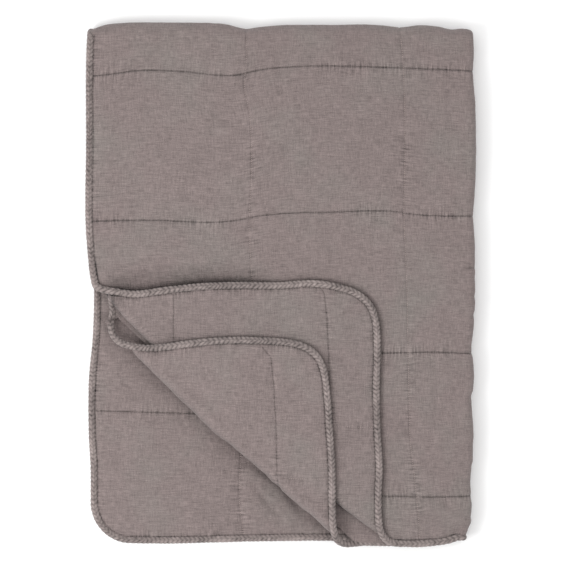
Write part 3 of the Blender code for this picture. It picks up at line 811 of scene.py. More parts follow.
def rounded_corner(u, v, x, y):
    """Keeps the cloth inside the lower pair's rounded corner."""
    du = u - (EDGE_U + CORNER)
    dv = v - (EDGE_V + CORNER)
    return ~((du < 0) & (dv < 0) & (du * du + dv * dv > (CORNER + 0.001) ** 2))


over_and_round = strip((u_fine[:-1], 0), (SIDE_AXIS_X, turning))
under_only = strip((u_middle[::-1], np.pi))
both_leaves = strip((u_coarse[:-1], 0), (SIDE_AXIS_X, turning[::4]), (u_coarse[-2::-1], np.pi))
upper_face = pair_skin("upper_face_skin", over_and_round, strip((v_fine, 0)),
                       FOLD_OUT, upper_relief, by_crease(TOP_CREASE))
under_face = pair_skin("under_leaf_face_skin", under_only, strip((v_middle, 0)),
                       FOLD_OUT, under_relief, by_crease(UNDER_CREASE))
upper_backing = pair_skin("upper_backing_skin", strip((u_coarse[:-1], 0), (SIDE_AXIS_X, turning[::4])),
                          strip((v_coarse, 0)), FOLD_IN, plain_relief, by_crease(TOP_CREASE), True)
under_backing = pair_skin("under_leaf_backing_skin", under_only, strip((v_middle, 0)),
                          FOLD_IN, plain_relief, by_crease(UNDER_CREASE), True)
cut_at_axis(upper_face, TOP_CREASE, 0.035)
cut_at_axis(under_face, UNDER_CREASE)
cut_at_axis(upper_backing, TOP_CREASE)
cut_at_axis(under_backing, UNDER_CREASE)
lower_face = pair_skin("lower_face_skin", strip((u_showing, np.pi)), strip((v_showing, np.pi)),
                       FOLD_OUT, lower_relief, rounded_corner, True)
ground_face = pair_skin("ground_face_skin", strip((u_middle[:-1], 0), (SIDE_AXIS_X, turning)),
                        strip((v_lower, np.pi)), FOLD_OUT, ground_relief, rounded_corner, True)
lower_backing = pair_skin("lower_backing_skin", both_leaves, strip((v_coarse, np.pi)),
                          FOLD_IN, plain_relief, rounded_corner)
fold_face = pair_skin("top_fold_face_skin", over_and_round, strip((TOP_AXIS_Y, rolling)),
                      FOLD_OUT, upper_relief)
fold_backing = pair_skin("top_fold_backing_skin", both_leaves, strip((TOP_AXIS_Y, rolling[::2])),
                         FOLD_IN, plain_relief, None, True)

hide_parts("upper_face_fabric")
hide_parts("upper_backing_fabric")
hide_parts("under_crease_face_fabric")
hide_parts("lower_face_fabric")
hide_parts("lower_backing_fabric")
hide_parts("top_fold_face_fabric")
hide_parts("top_fold_backing_fabric")
for skin, width, crease_line in ((upper_face, LEAF_WIDTH + SIDE_TURN, TOP_CREASE),
                                 (upper_backing, LEAF_WIDTH, TOP_CREASE),
                                 (under_face, LEAF_WIDTH, UNDER_CREASE),
                                 (under_backing, LEAF_WIDTH, UNDER_CREASE)):
    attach(skin, "upper_leaves")
    corner_area(crease_line)
for skin, width in ((lower_face, LEAF_WIDTH), (ground_face, LEAF_WIDTH + SIDE_TURN),
                    (lower_backing, 2 * LEAF_WIDTH)):
    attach(skin, "lower_leaves")
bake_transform(fold_face)
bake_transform(fold_backing)


# ---------------------------------------------------------------- turned back corners

class Flap:
    """A turned back corner: its crease, cord, seams and the level that it lies on."""

    def __init__(self, crease_line, line, outline, level, start, roll_width, drop, seams, seed):
        self.crease = crease_line
        self.line = line
        self.outline = outline
        self.level = level
        self.start = start
        self.roll_width = roll_width
        self.drop = drop
        self.seams = seams
        self.seed = seed
        self.path = line[::6]
        run = np.linalg.norm(np.diff(self.path[:, :2], axis=0), axis=1)
        self.run = np.concatenate([[0], np.cumsum(run)])

    def relief(self, x, y):
        relief = Relief(x, y, self.seed)
        for seam, share, upright in self.seams:
            gap, along = distance_to(x, y, np.array(seam, float))
            relief.seam_line(gap, along, share, upright, 0.4 + 0.5 * upright)
        gap, along = relief.edge(self.path)
        lift = np.interp(along, self.run, self.path[:, 2]) - self.level
        lift = np.maximum(lift, -self.drop) * np.exp(-gap / 0.030)
        place, across = self.crease.local(x, y)
        folds = noise(place / 0.022, across / 0.070, self.seed + 60) * np.exp(-np.abs(across) / 0.030)
        rise = relief.total() + lift + 0.0012 * folds + self.shape(x, y, place, across)
        return rise, relief

    def shape(self, x, y, place, across):
        return np.zeros(x.shape)

    def keep(self, x, y):
        return inside(x, y, self.outline)


class TopFlap(Flap):
    """The uppermost leaf's corner, with painted shade beside the under corner's cord that lies on it."""

    def relief(self, x, y):
        rise, relief = super().relief(x, y)
        gap = outline_gap(x, y, UNDER_FLAP_LINE, UNDER_OUTLINE)
        outside = np.maximum(gap - CORD_RADIUS, 0)
        # Painted shadow beside the under corner's cord, wider and darker towards the left.
        deep = smoothstep(-0.12, -0.24, x)
        shade = 2.2 * np.exp(-outside / 0.0032) + 2.8 * deep * np.exp(-outside / 0.012)
        relief.pucker = relief.pucker - shade * smoothstep(0.0, 0.004, gap)
        return rise, relief

    def shape(self, x, y, place, across):
        return creased(x, y, np.zeros(x.shape), (
            ((0.085, -0.070), (0.140, -0.020), 0.0045, 0.0020),
            ((0.100, -0.085), (0.150, -0.050), 0.0040, 0.0018),
            ((0.080, -0.100), (0.125, -0.095), 0.0028, 0.0020),
            ((0.095, -0.150), (0.140, -0.120), 0.0060, 0.0015),
            ((0.090, -0.290), (0.150, -0.262), 0.0055, 0.0017),
            ((-0.130, -0.055), (-0.060, -0.020), 0.0080, 0.0014),
            ((-0.275, -0.030), (-0.215, -0.060), 0.0060, 0.0020),
            ((-0.040, -0.070), (0.030, -0.030), 0.0080, 0.0012)))


class UnderFlap(Flap):
    """The second leaf's corner, which lies over the first."""

    def shape(self, x, y, place, across):
        sag = 0.0055 * np.exp(-((across - 0.030) / 0.022) ** 2) * smoothstep(0.02, 0.12, place)
        sag = sag * smoothstep(0.53, 0.45, place)
        return creased(x, y, -sag, (
            ((-0.215, -0.135), (-0.090, -0.210), 0.0100, 0.0018),
            ((-0.150, -0.120), (-0.060, -0.190), 0.0120, 0.0014),
            ((-0.080, -0.260), (0.020, -0.300), 0.0100, 0.0014),
            ((0.010, -0.180), (0.060, -0.140), 0.0060, 0.0013),
            ((-0.030, -0.340), (0.050, -0.300), 0.0080, 0.0016),
            ((0.020, -0.395), (0.070, -0.360), 0.0060, 0.0016)))


TOP_FLAP = TopFlap(
    TOP_CREASE, TOP_FLAP_LINE, TOP_OUTLINE, LEVELS[4], LEVELS[3] - LEAF / 2, 0.012, 0.005,
    [([(-0.176, 0.010), (-0.176, -0.150)], 0.7, 1.0),
     ([(0.0602, 0.010), (0.0655, -0.005), (0.0718, -0.0149), (0.0767, -0.0578), (0.080, -0.1403),
       (0.082, -0.42)], 1.0, 1.0),
     ([(0.190, -0.236), (0.100, -0.235), (-0.150, -0.232)], 0.6, 0.0)], 1100)
UNDER_FLAP = UnderFlap(
    UNDER_CREASE, UNDER_FLAP_LINE, UNDER_OUTLINE, LEVELS[5], LEVELS[2] - LEAF / 2, 0.017, 0.012,
    [([(-0.0360, -0.080), (-0.0338, -0.099), (-0.0157, -0.1205), (-0.0107, -0.1716), (-0.0074, -0.2376),
       (-0.0058, -0.3185),
       (-0.004, -0.43)], 0.9, 1.0),
     ([(0.100, -0.320), (0.007, -0.320), (-0.150, -0.318)], 0.6, 0.0)], 1300)


FLAP_MARGIN = 0.012      # how far a corner's grid runs past the ends of its crease
FLAP_REACH = 0.335       # and how far across
FLAP_FINE = 0.0017
FLAP_COARSE = 0.0050


def flap_grid(flap, step, nearest_across):
    """Place along the crease, distance across it, and x and y, over a turned back corner."""
    places = np.arange(-FLAP_MARGIN, flap.crease.length + FLAP_MARGIN, step)
    place, across = np.meshgrid(places, np.arange(nearest_across, FLAP_REACH, step))
    return place, across, *flap.crease.world(place, across)


def flap_top(name, flap, step):
    """The skin from under the leaf, round the crease and over the turned back corner."""
    place = np.arange(-FLAP_MARGIN, flap.crease.length + FLAP_MARGIN, step)
    width = flap.roll_width
    beta = np.linspace(0, np.pi, 25)
    under = np.linspace(width + 0.010, width, 4)[:-1]
    over = np.arange(width + step, FLAP_REACH, step)
    across = np.concatenate([under, width * (1 - np.sin(beta)), over])
    angle = np.concatenate([under * 0, beta, over * 0 + np.pi])
    place, across = np.meshgrid(place, across)
    angle = np.broadcast_to(angle[:, None], place.shape)
    half = (flap.level + LEAF / 2 - flap.start) / 2
    x, y = flap.crease.world(place, np.where(angle < np.pi, width - half * (np.pi - angle) * 0.6, across))
    rise, relief = flap.relief(x, y)
    top = flap.level + LEAF / 2 + rise
    z = flap.start + (top - flap.start) * (1 - np.cos(angle)) / 2
    plan_x, plan_y = flap.crease.world(place, across - (relief.height * 1.5) * np.sin(angle))
    points = np.stack([plan_x, plan_y, z], axis=-1)
    keep = flap.keep(plan_x, plan_y)
    cloth = np.stack([x, y, x * 0], axis=-1)
    return sheet_piece(name, points, keep, cloth, relief, True)


def flap_under(name, flap, step):
    """The skin on the underside of the turned back corner, from its turning axis on."""
    _, _, x, y = flap_grid(flap, step, 0.002)
    rise, relief = flap.relief(x, y)
    gap, _ = distance_to(x, y, flap.path)
    z = flap.level - LEAF / 2 + 0.0001 + np.clip(rise, 0, 0.006) * np.exp(-gap / 0.03)
    z = z + 0.003 * np.exp(-gap / 0.006)
    points = np.stack([x, y, z], axis=-1)
    cloth = np.stack([x, y, x * 0], axis=-1)
    piece = sheet_piece(name, points, flap.keep(x, y), cloth, relief)
    cut_at_axis(piece, flap.crease)
    return piece


def flap_pad(name, flap):
    """The batting of a turned back corner, well inside its skins."""
    place, across = np.meshgrid(np.arange(0, flap.crease.length, 0.008),
                                np.arange(0.026, FLAP_REACH, 0.008))
    x, y = flap.crease.world(place, across)
    gap, _ = distance_to(x, y, flap.path)
    rise, _ = flap.relief(x, y)
    low = flap.level - LEAF / 2 + 0.0022 + np.clip(rise, 0, 0.006) * np.exp(-gap / 0.03)
    high = flap.level + LEAF / 2 - 0.0042 + np.minimum(rise, 0)
    keep = flap.keep(x, y) & (gap > 0.022) & (high > low + 0.0012) & (across > 0.070)
    return pad_piece(name, np.stack([x, y, high], -1), np.stack([x, y, low], -1), keep)


top_flap_top = flap_top("top_flap_backing_skin", TOP_FLAP, FLAP_FINE)
top_flap_low = flap_under("top_flap_face_skin", TOP_FLAP, FLAP_COARSE)
under_flap_top = flap_top("under_flap_face_skin", UNDER_FLAP, FLAP_FINE)
under_flap_low = flap_under("under_flap_backing_skin", UNDER_FLAP, FLAP_COARSE)
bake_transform(top_flap_top)
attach(top_flap_low, "corner_flap_top")
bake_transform(under_flap_top)
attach(under_flap_low, "corner_flap_under")


def flap_plan(flap, past_axis):
    """Width, length and area in plan of a turned back corner, or of its part past the turning axis."""
    cell = 0.002
    place, across, x, y = flap_grid(flap, cell, 0)
    kept = flap.keep(x, y)
    if past_axis:
        kept &= flap.crease.past_axis(x, y) > 0
    area = float(np.count_nonzero(kept)) * cell * cell
    return float(np.ptp(place[kept])), float(np.ptp(across[kept])), area


for flap, top_skin, low_skin, rests_on in ((TOP_FLAP, top_flap_top, top_flap_low, "upper_face_skin"),
                                           (UNDER_FLAP, under_flap_top, under_flap_low,
                                            "top_flap_backing_skin")):
    # the upper skin also goes round the roll, and 10 mm in under it
    width, length, area = flap_plan(flap, False)
    width, length, area = flap_plan(flap, True)
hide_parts("top_flap_backing_fabric", "top_crease_backing_fabric")
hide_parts("top_flap_face_fabric", "top_crease_face_fabric")
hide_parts("under_flap_face_fabric")
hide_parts("under_flap_backing_fabric", "under_crease_backing_fabric")


# ---------------------------------------------------------------- batting

def leaf_pad(name, turn, roll, plan_keep, reach_out, reach_in):
    """A leaf's batting, well inside its two skins."""
    u, v = np.meshgrid(np.linspace(EDGE_U + 0.010, SIDE_AXIS_X, 60),
                       np.linspace(EDGE_V + 0.010, TOP_AXIS_Y - 0.008, 80))
    flat = np.zeros(u.shape)
    high = pair_points(u, turn, v, roll, reach_out, flat)
    low = pair_points(u, turn, v, roll, reach_in, flat)
    keep = plan_keep(u, v, high[..., 0], high[..., 1])
    return pad_piece(name, high, low, keep)


def inside_top_crease(u, v, x, y):
    pressed = (x < 0.06) & (y > -0.05) & (y < 0.06)
    return (TOP_CREASE.past_axis(x, y) > 0.012) & ~pressed


def inside_under_crease(u, v, x, y):
    return UNDER_CREASE.past_axis(x, y) > 0.014


PAD_OUT = FOLD_OUT - 0.0085
PAD_IN = FOLD_IN + 0.0018
upper_pad = leaf_pad("upper_leaf_batting", 0.0, 0.0, inside_top_crease, PAD_OUT, PAD_IN)
under_pad = leaf_pad("under_leaf_batting", np.pi, 0.0, inside_under_crease, PAD_OUT + 0.003, PAD_IN)
lower_pad = leaf_pad("lower_leaf_batting", np.pi, np.pi, rounded_corner, PAD_OUT + 0.002, PAD_IN)
ground_pad = leaf_pad("ground_leaf_batting", 0.0, np.pi, rounded_corner, PAD_OUT + 0.003, PAD_IN)
fold_u, fold_roll = np.meshgrid(np.linspace(EDGE_U + 0.010, SIDE_AXIS_X, 60), rolling[1:-1])
fold_pad = pad_piece("top_fold_batting_pad",
                     pair_points(fold_u, 0.0, TOP_AXIS_Y + fold_u * 0, fold_roll, PAD_OUT + 0.002,
                                 fold_u * 0),
                     pair_points(fold_u, 0.0, TOP_AXIS_Y + fold_u * 0, fold_roll, PAD_IN, fold_u * 0),
                     np.ones(fold_u.shape, bool))
top_flap_pad = flap_pad("top_flap_batting_pad", TOP_FLAP)
under_flap_pad = flap_pad("under_flap_batting_pad", UNDER_FLAP)
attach(upper_pad, "upper_leaves")
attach(under_pad, "upper_leaves")
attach(lower_pad, "lower_leaves")
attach(ground_pad, "lower_leaves")
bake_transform(fold_pad)
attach(top_flap_pad, "corner_flap_top")
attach(under_flap_pad, "corner_flap_under")
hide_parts("upper_batting")
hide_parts("lower_batting")
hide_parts("top_fold_batting")
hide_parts("top_flap_batting", "top_crease_batting")
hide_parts("under_flap_batting", "under_crease_batting")
PADS = [upper_pad, under_pad, lower_pad, ground_pad, fold_pad, top_flap_pad, under_flap_pad]


# ---------------------------------------------------------------- cords

CORD_STEP = 0.0012


def raised(line, level):
    return np.column_stack([line, np.full(len(line), level)])


def side_turn(y, z_middle):
    """Half a turn of the cord round the side fold."""
    angle = np.linspace(0, np.pi, 17)[1:-1]
    arm = PITCH / 2
    centre = SIDE_AXIS_X + side_bulge(y)
    return np.stack([centre + arm * np.sin(angle), angle * 0 + y, z_middle + arm * np.cos(angle)], axis=1)


def fold_turn(x, arm):
    """Half a turn of the cord over the top fold."""
    angle = np.linspace(0, np.pi, 33)
    y = TOP_AXIS_Y + arm * (1 + float(top_bulge(x)) / (PAIR_REACH + FOLD_OUT)) * np.sin(angle)
    return np.stack([angle * 0 + x, y, TOP_AXIS_Z + arm * np.cos(angle)], axis=1)


front_line = UPPER_EDGE[UPPER_EDGE[:, 1] < -0.400]
front_of_leaf = front_line[front_line[:, 0] > 0.212]
front_of_under = front_line[front_line[:, 0] > 0.144]
end_y = float(front_line[-1, 1])
left_points = np.arange(TOP_AXIS_Y, 0.036, -0.006)
left_line = np.stack([upper_left(left_points), left_points], axis=1)
under_points = np.arange(TOP_AXIS_Y, 0.016, -0.006)
under_line = np.stack([under_left(under_points), under_points], axis=1)

CORD_LINES = {
    "lower_edge_cord": np.concatenate([
        raised(LOWER_EDGE, LEVELS[1]), side_turn(float(LOWER_EDGE[-1, 1]), (LEVELS[0] + LEVELS[1]) / 2),
        raised(LOWER_EDGE, LEVELS[0])[::-1]]),
    "top_fold_outer_cord": fold_turn(float(left_line[0, 0]), 1.5 * PITCH),
    "top_fold_inner_cord": fold_turn(float(under_line[0, 0]), 0.5 * PITCH),
    "upper_leaf_side_cord": np.concatenate([raised(left_line, LEVELS[3]), [TOP_FLAP_LINE[0]]]),
    "under_leaf_side_cord": np.concatenate([raised(under_line, LEVELS[2]), [UNDER_FLAP_LINE[0]]]),
    "upper_end_cord": np.concatenate([
        [TOP_FLAP_LINE[-1]], raised(front_of_leaf, LEVELS[3]),
        side_turn(end_y, (LEVELS[2] + LEVELS[3]) / 2),
        raised(front_of_under, LEVELS[2])[::-1], [UNDER_FLAP_LINE[-1]]]),
    "top_flap_edge_cord": TOP_FLAP_LINE,
    "under_flap_edge_cord": UNDER_FLAP_LINE,
}


def nearest(line, point):
    return int(np.argmin(np.linalg.norm(line[:, :2] - np.array(point), axis=1)))


def split_cord(name, starts_at, ends_at):
    """Cuts a flap's cord into its turn at each end of the crease, and what lies between."""
    line = CORD_LINES.pop(name)
    first, last = nearest(line, starts_at), nearest(line, ends_at)
    CORD_LINES[name] = line[first:last + 1]
    CORD_LINES[name + "_start"] = line[:first + 1]
    CORD_LINES[name + "_end"] = line[last:]


split_cord("top_flap_edge_cord", (-0.262, -0.014), (0.1625, -0.396))
split_cord("under_flap_edge_cord", (-0.188, -0.103), (0.085, -0.368))


def braided(along, round_it):
    """Radius factor of a cord whose cover is pinched slantwise at each stitch."""
    slant = np.abs(np.sin(round_it)) * 0.0048
    wobble = noise(along / 0.012, round_it, 41) * 0.0014 + noise(along / 0.05, round_it * 0, 42) * 0.003
    phase = (along + slant + wobble) / 0.0074
    depth = 0.100 + 0.045 * noise(along / 0.016, round_it, 44)
    pinch = np.abs(np.cos(np.pi * phase)) ** 5
    lumps = noise(along / 0.0050, round_it * 1.4, 43) * 0.030
    lumps = lumps + noise(along / 0.030, round_it * 0 + 1, 45) * 0.03
    return 1.0 - depth * pinch + lumps - 0.02


def plain_round(along, round_it):
    return 1.0 + noise(along / 0.004, round_it * 2, 47) * 0.02


cords = {}
for name, points in CORD_LINES.items():
    line = spaced(points, CORD_STEP)
    cords[name] = tube_piece(name + "_cover", line, CORD_RADIUS, 18, braided)
    cords[name + "_core"] = tube_piece(name + "_core", line[::4], CORD_RADIUS * 0.70, 10, plain_round)
for name, body in (("lower_edge_cord", "lower_leaves"), ("upper_leaf_side_cord", "upper_leaves"),
                   ("under_leaf_side_cord", "upper_leaves"), ("upper_end_cord", "upper_leaves"),
                   ("top_flap_edge_cord", "corner_flap_top"),
                   ("under_flap_edge_cord", "corner_flap_under")):
    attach(cords[name], body)
    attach(cords[name + "_core"], body)
for name, other, low, high in (
        ("top_fold_outer_cord", "upper_leaves", TOP_AXIS_Z - 1.5 * PITCH, TOP_AXIS_Z + 1.5 * PITCH),
        ("top_fold_inner_cord", "upper_leaves", TOP_AXIS_Z - 0.5 * PITCH, TOP_AXIS_Z + 0.5 * PITCH)):
    for piece in (cords[name], cords[name + "_core"]):
        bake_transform(piece)
for name, body, start, end in (
        ("top_flap_edge_cord_start", "corner_flap_top", (-0.3055, 0, 0), (-0.270, 0, 0)),
        ("top_flap_edge_cord_end", "corner_flap_top", (0.203, -0.4265, 0), (0.166, -0.401, 0)),
        ("under_flap_edge_cord_start", "corner_flap_under", (-0.279, -0.055, 0), (-0.205, -0.108, 0)),
        ("under_flap_edge_cord_end", "corner_flap_under", (0.134, -0.428, 0), (0.090, -0.400, 0))):
    for piece in (cords[name], cords[name + "_core"]):
        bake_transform(piece)
for name, node in (("lower_edge_cord", "lower_cord"), ("top_fold_outer_cord", "top_fold_outer_cord"),
                   ("top_fold_inner_cord", "top_fold_inner_cord"),
                   ("upper_leaf_side_cord", "upper_leaf_side_cord"),
                   ("under_leaf_side_cord", "under_leaf_side_cord"), ("upper_end_cord", "upper_end_cord"),
                   ("top_flap_edge_cord", "top_flap_cord"), ("under_flap_edge_cord", "under_flap_cord")):
    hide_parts(node + "_cover")
    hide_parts(node + "_core")


# ---------------------------------------------------------------- stitches

STITCH_LENGTH = 0.0024
STITCH_PITCH = 0.0036
THREAD = 0.00045


def stitches(name, lines):
    """Short capsules of thread along lines of surface points, each with its paleness."""
    points, faces, tones = [], [], []
    angle = np.arange(5) / 5 * 2 * np.pi
    for line, tone in lines:
        line = spaced(np.asarray(line, float), STITCH_PITCH)
        run = np.diff(line, axis=0)
        run /= np.maximum(np.linalg.norm(run, axis=1), 1e-9)[:, None]
        side = np.cross(run, [0.0, 0.0, 1.0])
        side /= np.maximum(np.linalg.norm(side, axis=1), 1e-9)[:, None]
        up = np.cross(side, run)
        for start, along, out, high in zip(line, run, side, up):
            first = len(points) * 5
            for share, wide in ((0.0, 0.25), (0.18, 1.0), (0.82, 1.0), (1.0, 0.25)):
                centre = start + along * STITCH_LENGTH * share
                ring = np.cos(angle)[:, None] * out + np.sin(angle)[:, None] * high
                points.append(centre + ring * THREAD * wide)
                tones.append(tone)
            for ring in range(3):
                for corner in range(5):
                    after = (corner + 1) % 5
                    low = first + ring * 5
                    faces.append((low + corner, low + after, low + 5 + after, low + 5 + corner))
    points = np.concatenate(points)
    return new_piece(name, points, np.array(faces), points, np.repeat(tones, 5), points * 0)


def on_surface(x, y, rise_of, level, lift=0.0002):
    """Points on a skin that faces up."""
    rise, _ = rise_of(x, y)
    return np.stack([x, y, level + rise + lift], axis=1)


def seam_lines(columns, rows, x_range, y_range, rise_of, level, keep):
    """Lines of surface points along every seam, split where a mask hides them."""
    y = np.arange(*y_range, 0.003)
    x = np.arange(*x_range, 0.003)
    lines = [(on_surface(column(y), y, rise_of, level), 1.0) for column in columns]
    lines += [(on_surface(x, row(x), rise_of, level), 0.0) for row in rows]
    pieces = []
    for line, tone in lines:
        shown = keep(line[:, 0], line[:, 1])
        edges = np.flatnonzero(np.diff(shown.astype(int))) + 1
        for run in np.split(np.arange(len(line)), edges):
            if len(run) > 2 and shown[run[0]]:
                pieces.append((line[run], tone))
    return pieces


def past(crease_line, gap):
    """Keeps what lies further from a crease's turning axis than a gap."""
    return lambda x, y: crease_line.past_axis(x, y) > gap


def inside_edge(x, y):
    return distance_to(x, y, LOWER_EDGE)[0] > 0.006


def flap_stitches(flap, level, top):
    """Lines of a turned back corner's seams, over the relief on its upper side."""
    lines = []
    for seam, _, upright in flap.seams:
        line = spaced(np.array(seam, float), 0.003)
        x, y = line[:, 0], line[:, 1]
        gap, _ = distance_to(x, y, flap.path)
        keep = flap.keep(x, y) & (flap.crease.past_axis(x, y) > 0.002) & (gap > 0.007)
        x, y = x[keep], y[keep]
        rise = flap.relief(x, y)[0] if top else x * 0 - 0.0002
        lines.append((np.stack([x, y, level + rise + 0.0002], axis=1), 1 - upright))
    return lines


X_RANGE = (EDGE_U + 0.008, SIDE_AXIS_X + 0.006)
Y_RANGE = (EDGE_V + 0.008, TOP_AXIS_Y)
UPPER_SEAMS = (UPPER_COLUMN_SHAPES, UPPER_ROW_SHAPES, X_RANGE, Y_RANGE)
LOWER_SEAMS = (LOWER_COLUMN_SHAPES, LOWER_ROW_SHAPES, X_RANGE, Y_RANGE)
HALF = LEAF / 2
threads = (
    ("upper_face_stitches", "upper_leaves", "upper_face_thread",
     seam_lines(*UPPER_SEAMS, upper_relief, LEVELS[3] + HALF, past(TOP_CREASE, 0.004))),
    ("upper_backing_stitches", "upper_leaves", "upper_backing_thread",
     seam_lines(*UPPER_SEAMS, plain_relief, LEVELS[2] + HALF, past(UNDER_CREASE, 0.014))),
    ("lower_face_stitches", "lower_leaves", "lower_face_thread",
     seam_lines(*LOWER_SEAMS, lower_relief, LEVELS[1] + HALF, inside_edge)),
    ("lower_backing_stitches", "lower_leaves", "lower_backing_thread",
     seam_lines(*LOWER_SEAMS, plain_relief, LEVELS[0] + HALF, inside_edge)),
    ("top_flap_backing_stitches", "corner_flap_top", "top_flap_backing_thread",
     flap_stitches(TOP_FLAP, LEVELS[4] + HALF, True)),
    ("top_flap_face_stitches", "corner_flap_top", "top_flap_face_thread",
     flap_stitches(TOP_FLAP, LEVELS[4] - HALF, False)),
    ("under_flap_face_stitches", "corner_flap_under", "under_flap_face_thread",
     flap_stitches(UNDER_FLAP, LEVELS[5] + HALF, True)),
    ("under_flap_backing_stitches", "corner_flap_under", "under_flap_backing_thread",
     flap_stitches(UNDER_FLAP, LEVELS[5] - HALF, False)),
)
thread_pieces = []
for name, body, node, lines in threads:
    piece = stitches(name, lines)
    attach(piece, body)
    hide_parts(node)
    thread_pieces.append(piece)


# ---------------------------------------------------------------- materials

class Nodes:
    """A material's node tree, with short calls for the nodes used here."""

    def __init__(self, name, roughness, sheen):
        self.material = bpy.data.materials.new(name)
        self.material.use_nodes = True
        self.tree = self.material.node_tree
        self.shader = next(node for node in self.tree.nodes if node.type == "BSDF_PRINCIPLED")
        self.shader.inputs["Roughness"].default_value = roughness
        self.shader.inputs["Sheen Weight"].default_value = sheen
        self.shader.inputs["Sheen Roughness"].default_value = 0.6
        self.shader.inputs["Specular IOR Level"].default_value = 0.15

    def add(self, kind, **values):
        node = self.tree.nodes.new(kind)
        for key, value in values.items():
            setattr(node, key, value)
        return node

    def link(self, source, target):
        self.tree.links.new(source, target)

    def attribute(self, name, output):
        return self.add("ShaderNodeAttribute", attribute_name=name).outputs[output]

    def math(self, operation, first, second=0.0, third=0.0):
        node = self.add("ShaderNodeMath", operation=operation)
        for socket, value in zip(node.inputs, (first, second, third)):
            if isinstance(value, (int, float)):
                socket.default_value = value
            else:
                self.link(value, socket)
        return node.outputs[0]

    def noise(self, vector, scale, stretch=(1, 1, 1), detail=2.0, rough=0.5):
        mapping = self.add("ShaderNodeMapping")
        mapping.inputs["Scale"].default_value = [scale * share for share in stretch]
        self.link(vector, mapping.inputs["Vector"])
        node = self.add("ShaderNodeTexNoise")
        node.inputs["Scale"].default_value = 1.0
        node.inputs["Detail"].default_value = detail
        node.inputs["Roughness"].default_value = rough
        self.link(mapping.outputs[0], node.inputs["Vector"])
        return self.math("SUBTRACT", node.outputs["Fac"], 0.5)

    def sum(self, *terms):
        """Adds up (value, weight) pairs."""
        total = None
        for value, weight in terms:
            part = self.math("MULTIPLY", value, weight)
            total = part if total is None else self.math("ADD", total, part)
        return total

    def colour(self, base, amount, tint, tint_amount):
        """Base colour made lighter and darker by amount, and mixed towards a tint."""
        vary = self.add("ShaderNodeMix", data_type="RGBA", blend_type="MIX")
        vary.inputs[6].default_value = (*base, 1)
        vary.inputs[7].default_value = (*tint, 1)
        clamp = self.add("ShaderNodeClamp")
        self.link(tint_amount, clamp.inputs[0])
        self.link(clamp.outputs[0], vary.inputs[0])
        scale = self.add("ShaderNodeVectorMath", operation="SCALE")
        self.link(vary.outputs[2], scale.inputs[0])
        self.link(self.math("ADD", amount, 1.0), scale.inputs["Scale"])
        self.link(scale.outputs[0], self.shader.inputs["Base Color"])

    def bump(self, height, distance):
        node = self.add("ShaderNodeBump")
        node.inputs["Distance"].default_value = distance
        node.inputs["Strength"].default_value = 1.0
        self.link(height, node.inputs["Height"])
        self.link(node.outputs[0], self.shader.inputs["Normal"])


def linen(name, base, tint):
    """Washed linen: slubs both ways, a fine weave, worn patches, darker seams, and painted shade and
    light for puckering and for shadows carried by the vertex attribute.
    """
    nodes = Nodes(name, 0.92, 0.12)
    cloth = nodes.attribute("cloth", "Vector")
    pucker = nodes.attribute("pucker", "Fac")
    parts = nodes.add("ShaderNodeSeparateXYZ")
    nodes.link(nodes.attribute("pull", "Vector"), parts.inputs[0])
    weft = nodes.noise(cloth, 1, (75, 620, 1), 2)
    warp = nodes.noise(cloth, 1, (620, 75, 1), 2)
    long_weft = nodes.noise(cloth, 1, (22, 300, 1), 2)
    long_warp = nodes.noise(cloth, 1, (300, 26, 1), 2)
    grain = nodes.noise(cloth, 750, detail=2)
    wash = nodes.noise(cloth, 7, detail=3, rough=0.6)
    worn = nodes.noise(cloth, 38, detail=3, rough=0.6)
    # Painted shade and light: streaks beside the seams are made lighter and darker in colour to stand in
    # for the shading of small puckers; they also drive the bump.
    across = nodes.math("MULTIPLY", nodes.noise(cloth, 1, (40, 330, 1), 1, 0.4), parts.outputs["X"])
    down = nodes.math("MULTIPLY", nodes.noise(cloth, 1, (330, 40, 1), 1, 0.4), parts.outputs["Y"])
    dots = nodes.math("ADD", nodes.math("MULTIPLY", nodes.noise(cloth, 420, detail=0), 1.6), 0.9)
    seam = nodes.math("MULTIPLY", dots, parts.outputs["Z"])
    weave = nodes.sum((weft, 0.84), (warp, 0.68), (grain, 0.95))
    puckers = nodes.math("ADD", across, down)
    # The attribute term puts painted shade and painted shadows into the colour.
    amount = nodes.sum((weave, 1.0), (long_weft, 0.36), (long_warp, 0.24), (wash, 0.20), (worn, 0.20),
                       (pucker, 0.12), (puckers, 1.7), (seam, -0.50))
    nodes.colour(base, amount, tint, nodes.math("ADD", nodes.math("MULTIPLY", wash, 2.4), 0.1))
    nodes.bump(nodes.sum((weave, 0.8), (long_weft, 0.4), (long_warp, 0.4), (puckers, 2.2),
                         (seam, -0.35)), 0.0012)
    return nodes.material


def cord_cloth(name, base, tint):
    """The cord's bias cover: painted shade in its pinches, lighter ridges between them, and a slanting
    weave.
    """
    nodes = Nodes(name, 0.92, 0.12)
    cloth = nodes.attribute("cloth", "Vector")
    pinch = nodes.attribute("pucker", "Fac")
    weave = nodes.noise(cloth, 1, (420, 700, 1), 2)
    worn = nodes.noise(cloth, 1, (90, 200, 1), 3)
    # Painted shade: the pinch attribute darkens the pinched-in cover.
    amount = nodes.sum((pinch, 0.95), (weave, 0.55), (worn, 0.75))
    nodes.colour(base, nodes.math("ADD", amount, 0.28), tint, nodes.math("ADD", worn, 0.2))
    nodes.bump(nodes.sum((weave, 1.0), (worn, 0.6)), 0.0010)
    return nodes.material


